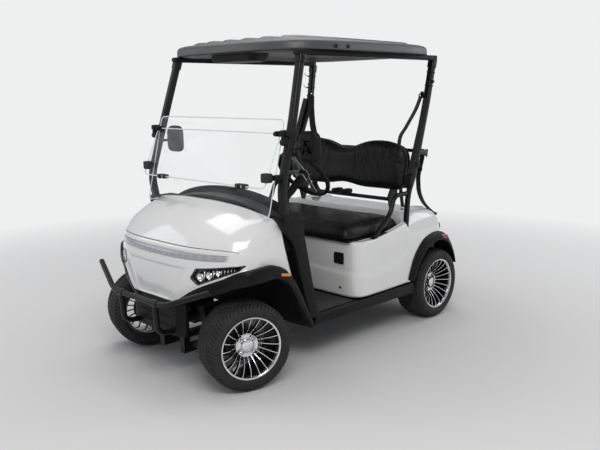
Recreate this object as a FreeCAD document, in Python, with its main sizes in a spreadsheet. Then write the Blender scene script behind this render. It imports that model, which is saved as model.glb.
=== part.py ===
import FreeCAD, Part
import Sketcher
import os
from math import cos, sin, radians

# Golf cart for two, standing on its four tyres with the front wheels turned to the right.
# Millimetres. X runs forward, Y to the left, Z up. The origin is on the floor, under the
# middle of the whole cart.

os.makedirs("parts", exist_ok=True)
doc = FreeCAD.newDocument("golf_cart")
vec = FreeCAD.Vector

# Driving dimensions: name, value in millimetres (or degrees), what it is
dimensions = (
    ("front_axle_x", 785, "front axle line ahead of the middle"),
    ("rear_axle_x", -864, "rear axle line"),
    ("tyre_radius", 238, "outer radius of the tyres, and height of the axles"),
    ("tyre_width", 208, "section width of the tyres"),
    ("bead_radius", 161, "radius where tyre and rim meet"),
    ("flange_radius", 169, "outer radius of the rim flange"),
    ("rim_wall", 6, "thickness of the rim barrel"),
    ("rim_blades", 20, "number of blades in a rim"),
    ("blade_width", 8, "width of a rim blade"),
    ("front_track", 962, "distance between the front wheel centres, wheels straight"),
    ("rear_track", 1004, "distance between the rear wheel centres"),
    ("hub_offset", 45, "hub face outboard of the wheel centre"),
    ("kingpin_span", 834, "distance between the kingpins"),
    ("kingpin_radius", 14, "kingpin radius"),
    ("rest_steer", 18, "degrees that the front wheels are turned to the right"),
    ("arm_reach", 95, "steering arm length from kingpin to rod eye"),
    ("rod_rise", 238, "height of the tie rod"),
    ("rod_radius", 9, "tie rod radius"),
    ("play", 0.3, "clearance between parts that move past each other"),
    ("floor_top", 298, "top of the floor pan"),
    ("floor_skin", 14, "floor pan thickness"),
    ("floor_half", 548, "half width of the floor pan"),
    ("floor_front", 430, "front edge of the floor pan"),
    ("floor_rear", -560, "rear edge of the floor pan"),
    ("rail_inner", 75, "inner face of the frame rails"),
    ("rail_width", 40, "width of the frame rails"),
    ("rail_bottom", 225, "bottom of the frame rails"),
    ("kick_drop", 40, "how far the rails over the rear axle lie below the bag well's floor"),
    ("kick_depth", 50, "depth of the rails over the rear axle"),
    ("rail_front", 560, "front end of the rails"),
    ("rail_tail", 216, "rear end of the rails behind the rear axle"),
    ("sub_front", 930, "front of the front subframe"),
    ("sub_low", 120, "bottom of the front subframe"),
    ("sub_top", 340, "top of the front subframe"),
    ("sub_bar", 40, "depth of the subframe bars"),
    ("skin", 8, "thickness of the moulded body panels"),
    ("seat_front", -30, "front face of the seat pod"),
    ("seat_ledge", 648, "height of the seat pod's top"),
    ("seat_back_x", -548, "front wall of the deck behind the seat"),
    ("recess_half", 522, "half width of the recess that the seat drops into"),
    ("bay_half", 470, "half width of the battery bay's mouth"),
    ("well_front", -790, "front wall of the bag well"),
    ("well_gap", 23, "distance between the bag well's wall and the rear tyres"),
    ("well_floor", 430, "floor of the bag well"),
    ("arch_lap", 8, "how far the flares reach over the edge of their wheel arches"),
    ("flare_inner", 550, "inner edge of the flares"),
    ("flare_outer", 609, "outer edge of the flares"),
    ("cowl_rear", 600, "rear edge of the front cowl"),
    ("cowl_low", 462, "bottom of the nose"),
    ("sill_outer", 582, "outer face of the side sills"),
    ("sill_front", 362, "front end of the sills"),
    ("sill_rear", -605, "rear end of the sills"),
    ("cover_inner", 568, "inner face of the side covers"),
    ("cover_outer", 592, "outer face of the side covers"),
    ("dash_rear", 456, "rear face of the dash"),
    ("hood_height", 958, "top of the hood at its rear edge"),
    ("dash_drop", 53, "how far the dash's rear edge lies below the hood"),
    ("dash_height", 205, "height of the dash at its rear edge"),
    ("strut_size", 42, "width of the square roof struts"),
    ("roof_front", 508, "front edge of the roof"),
    ("roof_rear", -866, "rear edge of the roof"),
    ("roof_half", 603, "half width of the roof"),
    ("roof_top", 1850, "top of the roof"),
    ("roof_depth", 82, "height of the roof from its lip to its top"),
    ("roof_inset", 46, "how far the roof's top draws in from its lip"),
    ("roof_rib", 12, "height of the ribs on the roof"),
    ("rib_width", 64, "width of the ribs on the roof"),
    ("bar_depth", 33, "depth of the bars under the roof's lip"),
    ("cushion_front", 8, "front of the seat cushion"),
    ("cushion_rear", -532, "rear of the seat cushion"),
    ("cushion_half", 515, "half width of the seat cushion"),
    ("board_depth", 12, "height of the seat board, from the ledge to the cushion"),
    ("cushion_depth", 90, "height of the seat cushion"),
    ("back_half", 520, "half width of the backrest"),
    ("back_gap", 145, "height between the cushion and the backrest"),
    ("back_height", 340, "height of the backrest's lobes"),
    ("back_depth", 85, "depth of the backrest cushion"),
    ("hoop_radius", 15, "tube radius of the hip hoops and racks"),
    ("hoop_y", 543, "distance of the hip hoops from the middle"),
    ("guard_radius", 16, "tube radius of the brush guard"),
    ("glass", 6, "thickness of the windshield"),
    ("glass_set", 58, "foot of the windshield ahead of the cowl's rear edge"),
    ("glass_rake", 110, "how far the windshield leans back over its lower pane"),
    ("glass_half", 545, "half width of the windshield"),
    ("wheel_x", 120, "steering wheel centre"),
    ("wheel_y", 270, "steering wheel centre, to the left"),
    ("wheel_rise", 155, "steering wheel centre above the dash's rear edge"),
    ("wheel_ring", 170, "steering wheel ring radius"),
    ("wheel_grip", 13, "steering wheel grip radius"),
    ("column_tilt", 50, "degrees that the column leans back from upright"),
    ("column_radius", 24, "steering column radius"),
)

sheet = doc.addObject("Spreadsheet::Sheet", "Sizes")
for row, (alias, value, note) in enumerate(dimensions, start=1):
    sheet.set("A%d" % row, str(value))
    sheet.setAlias("A%d" % row, alias)
    sheet.set("B%d" % row, note)
doc.recompute()


class Size:
    # A number together with the sheet expression that gives it
    def __init__(self, value, text):
        self.value = float(value)
        self.text = text

    def __float__(self):
        return self.value

    def __add__(self, other):
        return Size(self.value + float(other), "(%s + %s)" % (self.text, words(other)))

    def __radd__(self, other):
        return Size(self.value + float(other), "(%s + %s)" % (words(other), self.text))

    def __sub__(self, other):
        return Size(self.value - float(other), "(%s - %s)" % (self.text, words(other)))

    def __rsub__(self, other):
        return Size(float(other) - self.value, "(%s - %s)" % (words(other), self.text))

    def __mul__(self, other):
        return Size(self.value * float(other), "(%s * %s)" % (self.text, words(other)))

    def __truediv__(self, other):
        return Size(self.value / float(other), "(%s / %s)" % (self.text, words(other)))

    def __neg__(self):
        return Size(-self.value, "(0 - %s)" % self.text)


def words(number):
    # The text of a size or of a plain number
    if isinstance(number, Size):
        return number.text
    return repr(float(number))


class Sizes:
    pass


d = Sizes()
for alias, value, note in dimensions:
    setattr(d, alias, Size(sheet.get(alias), "Sizes." + alias))

# Sizes that follow from the others
well_half = (d.rear_track - d.tyre_width) / 2 - d.well_gap
kick_top = d.well_floor - d.kick_drop
kick_low = kick_top - d.kick_depth
rail_rear = d.rear_axle_x - d.rail_tail
cushion_low = d.seat_ledge + d.board_depth
cushion_top = cushion_low + d.cushion_depth
back_low = cushion_top + d.back_gap
back_top = back_low + d.back_height
deck_top = d.seat_ledge + 120
roof_lip = d.roof_top - d.roof_depth
liner_low = roof_lip - d.bar_depth
dash_top = d.hood_height - d.dash_drop
dash_low = dash_top - d.dash_height
wheel_z = dash_top + d.wheel_rise
glass_foot = d.cowl_rear + d.glass_set
glass_head = glass_foot - d.glass_rake


def bind(item, prop, size):
    # Bind a property to the sheet, or set it where the size is a plain number
    if isinstance(size, Size):
        item.setExpression(prop, size.text)
    else:
        setattr(item, prop, float(size))


def place(item, x, y, z):
    # Put an item at a point whose parts are sizes
    item.setExpression("Placement.Base.x", words(x))
    item.setExpression("Placement.Base.y", words(y))
    item.setExpression("Placement.Base.z", words(z))


def box(name, x, y, z):
    # A block between two sizes along each axis
    item = doc.addObject("Part::Box", name)
    bind(item, "Length", x[1] - x[0])
    bind(item, "Width", y[1] - y[0])
    bind(item, "Height", z[1] - z[0])
    place(item, x[0], y[0], z[0])
    return item


def rod(name, radius, length, at, turn=None):
    # A cylinder from a point, along Z or turned: turn is (axis, degrees)
    item = doc.addObject("Part::Cylinder", name)
    bind(item, "Radius", radius)
    bind(item, "Height", length)
    if turn:
        item.Placement = FreeCAD.Placement(vec(0, 0, 0), FreeCAD.Rotation(vec(*turn[0]), turn[1]))
    place(item, *at)
    return item


along_y = ((1, 0, 0), -90)
along_x = ((0, 1, 0), 90)
plane_role = {"XY": "XY_Plane", "XZ": "XZ_Plane", "YZ": "YZ_Plane"}


def sketch(body, plane, points, offset):
    # A closed outline of straight lines, each corner bound to the sheet
    item = body.newObject("Sketcher::SketchObject", body.Name + "_outline")
    for feature in body.Origin.OriginFeatures:
        if feature.Role == plane_role[plane]:
            item.AttachmentSupport = [(feature, "")]
    item.MapMode = "FlatFace"
    item.setExpression("AttachmentOffset.Base.z", words(offset))
    corners = [vec(float(a), float(b), 0) for a, b in points]
    for k, corner in enumerate(corners):
        item.addGeometry(Part.LineSegment(corner, corners[(k + 1) % len(corners)]), False)
    for k in range(len(corners)):
        item.addConstraint(Sketcher.Constraint("Coincident", k, 2, (k + 1) % len(corners), 1))
    for k, (a, b) in enumerate(points):
        for kind, size in (("DistanceX", a), ("DistanceY", b)):
            number = item.addConstraint(Sketcher.Constraint(kind, -1, 1, k, 1, float(size)))
            if isinstance(size, Size):
                item.setExpression("Constraints[%d]" % number, size.text)
    return item


def pad(name, plane, points, low, high):
    # An outline in one plane, carried from low to high along the plane's axis
    body = doc.addObject("PartDesign::Body", name)
    if plane == "XZ":
        outline = sketch(body, plane, points, -high if isinstance(high, Size) else -float(high))
    else:
        outline = sketch(body, plane, points, low)
    solid = body.newObject("PartDesign::Pad", name + "_pad")
    solid.Profile = outline
    bind(solid, "Length", high - low)
    body.Tip = solid
    return body


def cut(name, base, *tools):
    # What is left of a piece after others are taken out of it
    item = doc.addObject("Part::Cut", name)
    item.Base = base
    item.Tool = tools[0] if len(tools) == 1 else group(name + "_tools", *tools)
    return item


def group(name, *items):
    # Pieces that share a node and don't touch
    item = doc.addObject("Part::Compound", name)
    item.Links = list(items)
    return item


def fuse(name, *items):
    item = doc.addObject("Part::MultiFuse", name)
    item.Shapes = list(items)
    return item


def mirrored(name, source):
    # The same piece on the right side of the cart
    item = doc.addObject("Part::Mirroring", name)
    item.Source = source
    item.Normal = vec(0, 1, 0)
    return item


def both_sides(name, source):
    return group(name, source, mirrored(name + "_right", source))


def made(name, shape):
    # A piece shaped directly
    item = doc.addObject("Part::Feature", name)
    item.Shape = shape
    return item


def corner_path(points, bend):
    # Straight runs joined by tangent arcs of one radius
    edges = []
    start = points[0]
    for k in range(1, len(points) - 1):
        corner = points[k]
        back = (points[k - 1] - corner).normalize()
        ahead = (points[k + 1] - corner).normalize()
        half = back.getAngle(ahead) / 2
        reach = bend / (sin(half) / cos(half))
        middle_way = (back + ahead).normalize()
        centre = corner + middle_way * (bend / sin(half))
        first = corner + back * reach
        last = corner + ahead * reach
        edges.append(Part.LineSegment(start, first).toShape())
        edges.append(Part.Arc(first, centre - middle_way * bend, last).toShape())
        start = last
    edges.append(Part.LineSegment(start, points[-1]).toShape())
    return Part.Wire(edges)


def tube_shape(points, radius, bend):
    # A round bar along straight runs and arcs
    points = [vec(*[float(c) for c in p]) for p in points]
    path = corner_path(points, float(bend))
    profile = Part.Wire([Part.Circle(points[0], points[1] - points[0], float(radius)).toShape()])
    return path.makePipeShell([profile], True, True)


def square_bar(points, width):
    # A bar of square level sections, one at each point
    half = float(width) / 2
    sections = []
    for x, y, z in points:
        x, y, z = float(x), float(y), float(z)
        ring = [vec(x - half, y - half, z), vec(x + half, y - half, z),
                vec(x + half, y + half, z), vec(x - half, y + half, z)]
        sections.append(Part.makePolygon(ring + [ring[0]]))
    return Part.makeLoft(sections, True, True)


def face_of(points, plane, inset):
    # A flat face in a plane from two-part points, drawn in by inset
    first, second = {"XY": (vec(1, 0, 0), vec(0, 1, 0)), "XZ": (vec(1, 0, 0), vec(0, 0, 1)),
                     "YZ": (vec(0, 1, 0), vec(0, 0, 1))}[plane]
    ring = [first * float(a) + second * float(b) for a, b in points]
    face = Part.Face(Part.makePolygon(ring + [ring[0]]))
    if inset:
        face = face.makeOffset2D(-inset, 2)
    return face


def prism(points, plane, low, high, inset=0):
    # A face carried from low to high along the plane's axis
    face = face_of(points, plane, inset)
    way = {"XY": vec(0, 0, 1), "XZ": vec(0, 1, 0), "YZ": vec(1, 0, 0)}[plane]
    face.translate(way * float(low))
    return face.extrude(way * (float(high) - float(low)))


def level_halves(points):
    # Both halves of an outline in the XY plane given for the left side
    return list(points) + [(a, -b) for a, b in reversed(points)]


def both_halves(points):
    # Both halves of an outline in the YZ plane given for the left side
    return list(points) + [(-a, b) for a, b in reversed(points)]


def block(x0, x1, y0, y1, z0, z1):
    x0, x1, y0, y1, z0, z1 = [float(c) for c in (x0, x1, y0, y1, z0, z1)]
    return Part.makeBox(x1 - x0, y1 - y0, z1 - z0, vec(x0, y0, z0))


def right_of(shape):
    # A shape mirrored to the right side of the cart
    return shape.mirror(vec(0, 0, 0), vec(0, 1, 0))


def pair_of(name, *shapes):
    # Left-side shapes and their right-side copies as one piece
    return made(name, Part.makeCompound(list(shapes) + [right_of(shape) for shape in shapes]))


far = 1500.0
axle_z = d.tyre_radius

# Front cowl and what is let into it: side, plan and front outlines whose common solid is the nose
nose_rise = d.hood_height - d.cowl_low


def nose_z(share):
    # A height on the nose, as a share of the way from its bottom to the hood
    return d.cowl_low + nose_rise * share


nose_side = [(1018, nose_z(0.4)), (1005, nose_z(0.55)), (972, nose_z(0.655)), (914, nose_z(0.784)),
             (800, nose_z(0.913)), (693, d.hood_height)]
nose_plan = [(1038, 185), (1022, 230), (990, 340), (940, 430), (880, 540), (812, 567)]
nose_front = [(0, d.hood_height), (250, nose_z(0.985)), (430, nose_z(0.93)), (520, nose_z(0.863)),
              (545, nose_z(0.76)), (562, nose_z(0.52)), (567, nose_z(0.2))]
nose_corner = [(742, nose_z(0.93)), (790, nose_z(0.875)), (845, nose_z(0.792)), (878, nose_z(0.715)),
               (905, nose_z(0.645)), (926, nose_z(0.55)), (945, nose_z(0.4)), (965, nose_z(0.28))]
corner_turn = 53.13
nose_edge = [(185, nose_z(0.006)), (222, nose_z(0.081)), (340, nose_z(0.198)), (430, nose_z(0.284)),
             (545, nose_z(0.393)), (567, nose_z(0.41))]
nose_tip = 1038
cowl_side_rear = 470


def nose_block(inset):
    # The solid inside the cowl's outer surface, or inside its inner surface where inset
    drop = 60 if inset else 0
    low = float(d.cowl_low) - drop
    rear = cowl_side_rear - drop
    side = [(nose_tip, low)] + nose_side + [(rear, d.hood_height), (rear, low)]
    plan = level_halves(nose_plan + [(rear, 567)])
    front = both_halves(nose_front + [(567, low)])
    crown = d.hood_height + 40
    corner = [(nose_corner[-1][0], low)] + nose_corner[::-1]
    corner = corner + [(nose_corner[0][0] - 120, crown), (-far, crown), (-far, low)]
    solid = prism(side, "XZ", -far, far, inset)
    solid = solid.common(prism(plan, "XY", 0, far, inset))
    solid = solid.common(prism(front, "YZ", 0, far, inset))
    for turn in (corner_turn, -corner_turn):
        shoulder = prism(corner, "XZ", -far, far, inset)
        shoulder.rotate(vec(0, 0, 0), vec(0, 0, 1), turn)
        solid = solid.common(shoulder)
    return solid


nose_outer = nose_block(0)
nose_wall = nose_outer.cut(nose_block(float(d.skin)))
lamp_shell = nose_outer.cut(nose_block(26))
front_flare_edge = [(147, 416), (65, 426), (-21, 425), (-116, 417), (-176, 390), (-225, 331), (-257, 306),
                    (-313, 200), (-365, 83), (-398, 26)]
front_flare_lip = [(147, 352), (37, 349), (-78, 352), (-162, 330), (-212, 279), (-266, 187), (-320, 100),
                   (-377, 12)]
rear_flare_edge = [(315, 103), (296, 151), (272, 210), (220, 280), (153, 333), (70, 359), (13, 362),
                   (-66, 350), (-146, 307), (-204, 242), (-230, 177), (-235, 116)]
rear_flare_lip = [(267, 93), (243, 157), (204, 214), (123, 272), (25, 302), (-49, 296), (-121, 258),
                  (-171, 202), (-204, 147), (-219, 112)]


def about_axle(x, points):
    # Points given from an axle's centre, set at the axle
    return [(x + a, axle_z + b) for a, b in points]


def arch_shape(x, edge, lap, side_from, side_to):
    # What opens the left wheel arch: the room inside a flare's outer edge, less what it laps over
    inner = [(a, b) for a, b in edge]
    ring = about_axle(x, [(inner[0][0], -200)] + inner + [(inner[-1][0], -200)])
    return prism(ring, "XZ", side_from, side_to, lap)


front_arch = arch_shape(d.front_axle_x, front_flare_edge, 0, 250, 700)
under_edge = [(185, nose_z(-0.125))] + nose_edge + [(700, nose_edge[-1][1]), (700, nose_z(-0.125))]
under_left = prism(under_edge, "YZ", d.front_axle_x, 1200)
bar_low, bar_high = nose_z(0.464), nose_z(0.54)
light_bar_shape = lamp_shell.common(block(905, 1200, -far, far, bar_low, bar_high))
lamp_face = [(300, nose_z(0.302)), (325, nose_z(0.383)), (545, nose_z(0.4315)), (512, nose_z(0.37)),
             (346, nose_z(0.254))]
lamp_left = lamp_shell.common(prism(lamp_face, "YZ", 800, 1200))
dash_room = block(cowl_side_rear - 10, d.cowl_rear, -far, far, dash_low, d.hood_height + 50)
cowl_shape = nose_wall.cut([front_arch, right_of(front_arch), under_left, right_of(under_left),
                            light_bar_shape, lamp_left, right_of(lamp_left), dash_room])
made("front_cowl", cowl_shape)
made("light_bar", light_bar_shape)
pair_of("headlights", lamp_left)

# Black bands under the white edge of the nose, and the bumper wall between the wheels
wing_face = [(241, nose_z(-0.06)), (241, nose_z(0.1))] + nose_edge[2:5] + [(548, nose_z(0.3)),
                                                                             (447, nose_z(0.15))]
wing_left = nose_outer.cut(nose_block(22)).common(prism(wing_face, "YZ", 800, 1200))
wing_left = wing_left.common(under_left)
wall_out = [(1030, 183), (1006, 241)]
wall_in = [(990, 241), (1014, 176)]
wall_plan = level_halves(wall_out + wall_in)
wall_low = 262
pad("front_bumper", "XY", wall_plan, wall_low, d.cowl_low)

# Wheel-arch flares: bands between their outer edge and their lip, down to the sills
front_flare = prism(about_axle(d.front_axle_x, front_flare_edge + front_flare_lip[::-1]), "XZ",
                    d.flare_inner, d.flare_outer)
rear_flare = prism(about_axle(d.rear_axle_x, rear_flare_edge + rear_flare_lip[::-1]), "XZ",
                   d.flare_inner, d.flare_outer)
pair_of("front_flares", front_flare, wing_left)
pair_of("rear_flares", rear_flare)
marker_x, marker_z = d.front_axle_x - 185, axle_z + 368
both_sides("side_markers", box("side_marker", (marker_x, marker_x + 50), (d.flare_outer, d.flare_outer + 3),
                               (marker_z, marker_z + 16)))

# Rear body: seat pod, deck and bag well in one moulded shell
body_side = [(d.seat_front, d.floor_top), (d.seat_front, d.seat_ledge + 2), (-200, d.seat_ledge + 4),
             (-540, d.seat_ledge + 64), (-556, deck_top - 30), (-780, deck_top), (-912, deck_top - 30),
             (-965, deck_top - 78), (-1005, deck_top - 168), (-1030, d.well_floor + 20),
             (-1040, d.well_floor - 90), (-1040, d.floor_top)]
body_plan = [(d.seat_front, 482), (d.seat_front - 11, 518), (d.seat_front - 36, 546),
             (d.seat_front - 75, 561), (-560, 575), (-900, 575), (-1005, 530), (-1040, 470)]
body_front = [(0, deck_top), (480, deck_top), (520, deck_top - 33), (562, deck_top - 78),
              (576, deck_top - 168), (576, d.floor_top)]


def body_block(inset):
    # The solid inside the rear body's outer surface, or its inner surface with an open bottom
    drop = 60 if inset else 0
    low = float(d.floor_top) - drop
    side = [(a, low if b is d.floor_top else b) for a, b in body_side]
    plan = level_halves(body_plan)
    front = both_halves([(a, low if b is d.floor_top else b) for a, b in body_front])
    solid = prism(side, "XZ", -far, far, inset)
    solid = solid.common(prism(plan, "XY", 0, far, inset))
    return solid.common(prism(front, "YZ", -far, far, inset))


def seat_recess(grow):
    half = d.recess_half + grow
    return block(d.seat_back_x - grow, 100, -half, half, d.seat_ledge - grow, 900)


def bag_well(grow):
    half = well_half + grow
    return block(-1200, d.well_front + grow, -half, half, d.well_floor - grow, 900)


body_outer = body_block(0).cut([seat_recess(0), bag_well(0)])
body_inner = body_block(float(d.skin)).cut([seat_recess(d.skin), bag_well(d.skin)])
bay_mouth = block(-500, -70, -d.bay_half, d.bay_half, d.seat_ledge - 48, d.seat_ledge + 52)
rear_arch = arch_shape(d.rear_axle_x, rear_flare_edge, d.arch_lap, well_half + 10, d.flare_inner)
rear_arch = rear_arch.fuse(arch_shape(d.rear_axle_x, rear_flare_edge, 0, d.flare_inner, 700))
rear_opening = block(-1100, -1000, -200, 200, 250, d.well_floor - d.skin)
tail_shell = body_outer.cut(body_block(20))
tail_lamp = tail_shell.common(block(-1100, -915, 440, 545, deck_top - 198, deck_top - 138))
port_shape = block(d.seat_front - d.skin, d.seat_front + 6, 388, 456, d.seat_ledge - 143, d.seat_ledge - 68)
rear_body_shape = body_outer.cut([body_inner, bay_mouth, rear_arch, right_of(rear_arch), rear_opening,
                                  tail_lamp, right_of(tail_lamp), port_shape])
made("rear_body", rear_body_shape)
pair_of("tail_lights", tail_lamp)
made("charge_port", port_shape)
box("bag_well_mat", (-1030, d.well_front), (-well_half, well_half), (d.well_floor, d.well_floor + 6))
box("rear_bumper", (rail_rear - 75, rail_rear - 40), (-520, 520), (kick_low - 90, kick_top + 10))

# Chassis: rails that rise over the rear axle, cross members, subframe, steering box
rails = pad("frame_rail", "XZ", [(d.rail_front, d.rail_bottom), (d.rail_front, d.floor_top - d.floor_skin),
            (d.rear_axle_x + 274, d.floor_top - d.floor_skin), (d.rear_axle_x + 174, kick_top),
            (rail_rear, kick_top), (rail_rear, kick_low), (d.rear_axle_x + 196, kick_low),
            (d.rear_axle_x + 296, d.rail_bottom)],
            d.rail_inner, d.rail_inner + d.rail_width)
both_sides("frame_rails", rails)
rail_outer = d.rail_inner + d.rail_width
box("floor_pan", (d.floor_rear, d.floor_front), (-d.floor_half, d.floor_half),
    (d.floor_top - d.floor_skin, d.floor_top))
hanger_front = d.rear_axle_x + 254
hanger_top = axle_z + 50
damper_top = kick_low + 5
members = [box("spring_arm", (hanger_front - 40, hanger_front), (rail_outer, 325),
               (hanger_top, hanger_top + 28)),
           box("damper_mount", (d.rear_axle_x - 26, d.rear_axle_x + 26), (rail_outer, 226),
               (damper_top, damper_top + 40))]
for name, x in (("front", 370), ("middle", -20), ("rear", -520)):
    members.append(box(name + "_arm", (x, x + 40), (rail_outer, d.floor_half),
                       (d.rail_bottom + 19, d.floor_top - d.floor_skin)))
members = members + [mirrored(item.Name + "_right", item) for item in members]
members.append(box("rear_member", (rail_rear - 40, rail_rear), (-380, 380), (kick_low, kick_top)))
group("cross_members", *members)
ring_out = box("ring_out", (d.rail_front, d.sub_front), (d.rail_inner, rail_outer), (d.sub_low, d.sub_top))
ring_in = box("ring_in", (d.rail_front + d.sub_bar, d.sub_front - d.sub_bar), (d.rail_inner, rail_outer),
              (d.sub_low + d.sub_bar, d.sub_top - d.sub_bar))
horn = box("bumper_horn", (d.sub_front, d.sub_front + 84), (d.rail_inner, rail_outer),
           (d.sub_top - d.sub_bar, d.sub_top))
box_low = d.rod_rise + 22 + d.play
tower_x, tower_z = d.front_axle_x + 41, d.sub_top + 60
steering_box = box("steering_box", (d.front_axle_x - 40, d.front_axle_x + 40),
                   (-d.rail_inner, d.rail_inner), (box_low, d.sub_top))
tower_post = box("tower_post", (tower_x, tower_x + 44), (d.rail_inner + 5, rail_outer - 10),
                 (d.sub_top, tower_z))
tower_top = box("tower_top", (tower_x, tower_x + 44), (d.rail_inner + 5, 200), (tower_z, tower_z + 12))
subframe_side = fuse("subframe_side", cut("subframe_ring", ring_out, ring_in), horn, tower_post, tower_top)
fuse("front_subframe", subframe_side, mirrored("subframe_side_right", subframe_side), steering_box)
sill = pad("sill", "XZ", [(d.sill_rear, 223), (d.sill_rear, d.floor_top), (d.sill_front, d.floor_top),
                          (d.sill_front, 246)], d.floor_half, d.sill_outer)
both_sides("side_sills", sill)

# Rear axle with its gear case, springs, dampers and the motor behind it
hub_reach = d.rear_track / 2 + d.hub_offset - d.play
tube_radius = 38
axle_tube = rod("axle_tube", tube_radius, hub_reach * 2, (d.rear_axle_x, -hub_reach, axle_z), along_y)
gear_case = box("gear_case", (d.rear_axle_x - 41, d.rear_axle_x + 44), (-62, 62),
                (axle_z - 78, axle_z + 80))
left_plate = rod("left_brake_plate", 100, 8, (d.rear_axle_x, d.rear_track / 2 - 38, axle_z), along_y)
right_plate = rod("right_brake_plate", 100, 8, (d.rear_axle_x, -(d.rear_track / 2 - 30), axle_z), along_y)
fuse("rear_axle", axle_tube, gear_case, left_plate, right_plate)
box("drive_motor", (d.rear_axle_x - 196, d.rear_axle_x - 41), (-95, 95), (axle_z - 73, axle_z + 92))
leaf_top = axle_z - tube_radius
leaf_rear = rail_rear - 30
spring = box("spring_leaf", (leaf_rear, hanger_front), (275, 325), (leaf_top - 12, leaf_top))
front_hanger = box("front_hanger", (hanger_front - 40, hanger_front), (275, 325), (leaf_top, hanger_top))
rear_hanger = box("rear_hanger", (leaf_rear, rail_rear), (275, 325), (leaf_top, kick_low))
rear_spring = fuse("rear_spring", spring, front_hanger, rear_hanger)
damper = rod("damper", 24, damper_top - axle_z - tube_radius, (d.rear_axle_x, 200, axle_z + tube_radius))
group("rear_suspension", rear_spring, mirrored("rear_spring_right", rear_spring), damper,
      mirrored("damper_right", damper))
box("battery_block", (-480, -80), (-300, 300), (d.floor_top, d.seat_ledge - 88))

# Front suspension arms with the kingpins
kingpin_y = d.kingpin_span / 2
arm_tip = 20
knuckle_low, knuckle_high = 172, 313
arm_low, arm_high = 146, d.sub_top


def suspension_arm(name, ahead, bend_y, low, high):
    # An arm from the subframe that narrows to a round end at the kingpin
    x = d.front_axle_x
    blade = pad(name + "_blade", "XY", [(x - 60, rail_outer), (x + ahead, rail_outer), (x + ahead, bend_y),
                (x + arm_tip, kingpin_y - 20), (x + arm_tip, kingpin_y), (x - arm_tip, kingpin_y),
                (x - arm_tip, kingpin_y - 20)], low, high)
    return fuse(name, blade, rod(name + "_end", arm_tip, high - low, (x, kingpin_y, low)))


lower_arm = suspension_arm("lower_arm", 87, 285, arm_low, knuckle_low - 1)
upper_arm = suspension_arm("upper_arm", 60, 200, knuckle_high + 1, arm_high)
kingpin = rod("kingpin", d.kingpin_radius, arm_high - arm_low, (d.front_axle_x, kingpin_y, arm_low))
front_arm = fuse("front_arm", lower_arm, upper_arm, kingpin)
shock_x = float(tower_x) + 22
shock_foot, shock_head = vec(shock_x, 262, 160), vec(shock_x, 165, float(tower_z) + 12)
shock_shape = Part.makeCylinder(22, (shock_head - shock_foot).Length, shock_foot, shock_head - shock_foot)
shock_room = block(tower_x - 26, tower_x + 74, 0, 400, knuckle_low - 1, tower_z)
shock = made("front_shock", shock_shape.common(shock_room))
group("front_suspension", front_arm, mirrored("front_arm_right", front_arm), shock,
      mirrored("front_shock_right", shock))

# Dash, footwell wall, pedals and the covers at the foot of the struts
column_top = 25


def column_point(reach):
    # A point along the steering column, measured down from the steering wheel's centre
    lean = radians(float(d.column_tilt))
    return vec(float(d.wheel_x) + reach * sin(lean), float(d.wheel_y), float(wheel_z) - reach * cos(lean))


dash_half = 560
dash_side = [(d.dash_rear, dash_low), (d.dash_rear, dash_top), (d.dash_rear + 64, dash_top + 15),
             (d.cowl_rear, dash_top + 40), (d.cowl_rear, dash_low)]
dash_block = prism(dash_side, "XZ", -dash_half, dash_half)
cubby_places = ((-480, -230), (-190, 60), (380, 520))
cubbies = [block(d.dash_rear - 10, d.cowl_rear - 40, y0, y1, dash_low + 60, dash_top - 45)
           for y0, y1 in cubby_places]
dash_back = block(d.dash_rear + 28, d.cowl_rear + 10, -dash_half + 12, dash_half - 12, dash_low - 10,
                  dash_low + 40)
made("dash", dash_block.cut(cubbies + [dash_back]))
floor_under = d.floor_top - d.floor_skin
pad("footwell_wall", "XZ", [(d.floor_front, floor_under), (d.floor_front + 10, floor_under),
                            (d.floor_front + 10, dash_low - 140), (d.dash_rear + 28, dash_low),
                            (d.dash_rear + 14, dash_low), (d.floor_front, dash_low - 134)],
    -d.floor_half, d.floor_half)
brake = box("brake_pedal", (d.floor_front - 18, d.floor_front), (235, 310),
            (d.floor_top + 52, d.floor_top + 142))
drive = box("drive_pedal", (d.floor_front - 18, d.floor_front), (140, 195),
            (d.floor_top + 32, d.floor_top + 152))
group("pedals", brake, drive)
cover_top = dash_top - 13
cover_side = [(340, d.floor_top), (d.dash_rear - 1, dash_top - 96), (d.dash_rear, cover_top),
              (640, cover_top), (539, dash_top - 155), (492, axle_z + 354), (404, d.floor_top)]
cover = pad("cover_blank", "XZ", cover_side, d.cover_inner, d.cover_outer)
side_cover = cut("side_cover", cover, made("arch_room", front_arch))

# Roof: moulded shell, panel under it, bars that take the struts, console
roof_corner = 70


def roof_block(inset, low, high):
    # A tapered slab with cut corners, from the lip to the top
    levels = ((low, inset), (float(roof_lip) + 34, inset), (high, inset + float(d.roof_inset)))
    rings = []
    for z, draw in levels:
        front, rear, half = float(d.roof_front) - draw, float(d.roof_rear) + draw, float(d.roof_half) - draw
        ring = [(front, half - roof_corner), (front - roof_corner, half), (rear + roof_corner, half),
                (rear, half - roof_corner)]
        ring = [vec(a, b, z) for a, b in level_halves(ring)]
        rings.append(Part.makePolygon(ring + [ring[0]]))
    return Part.makeLoft(rings, True, True)


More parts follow.
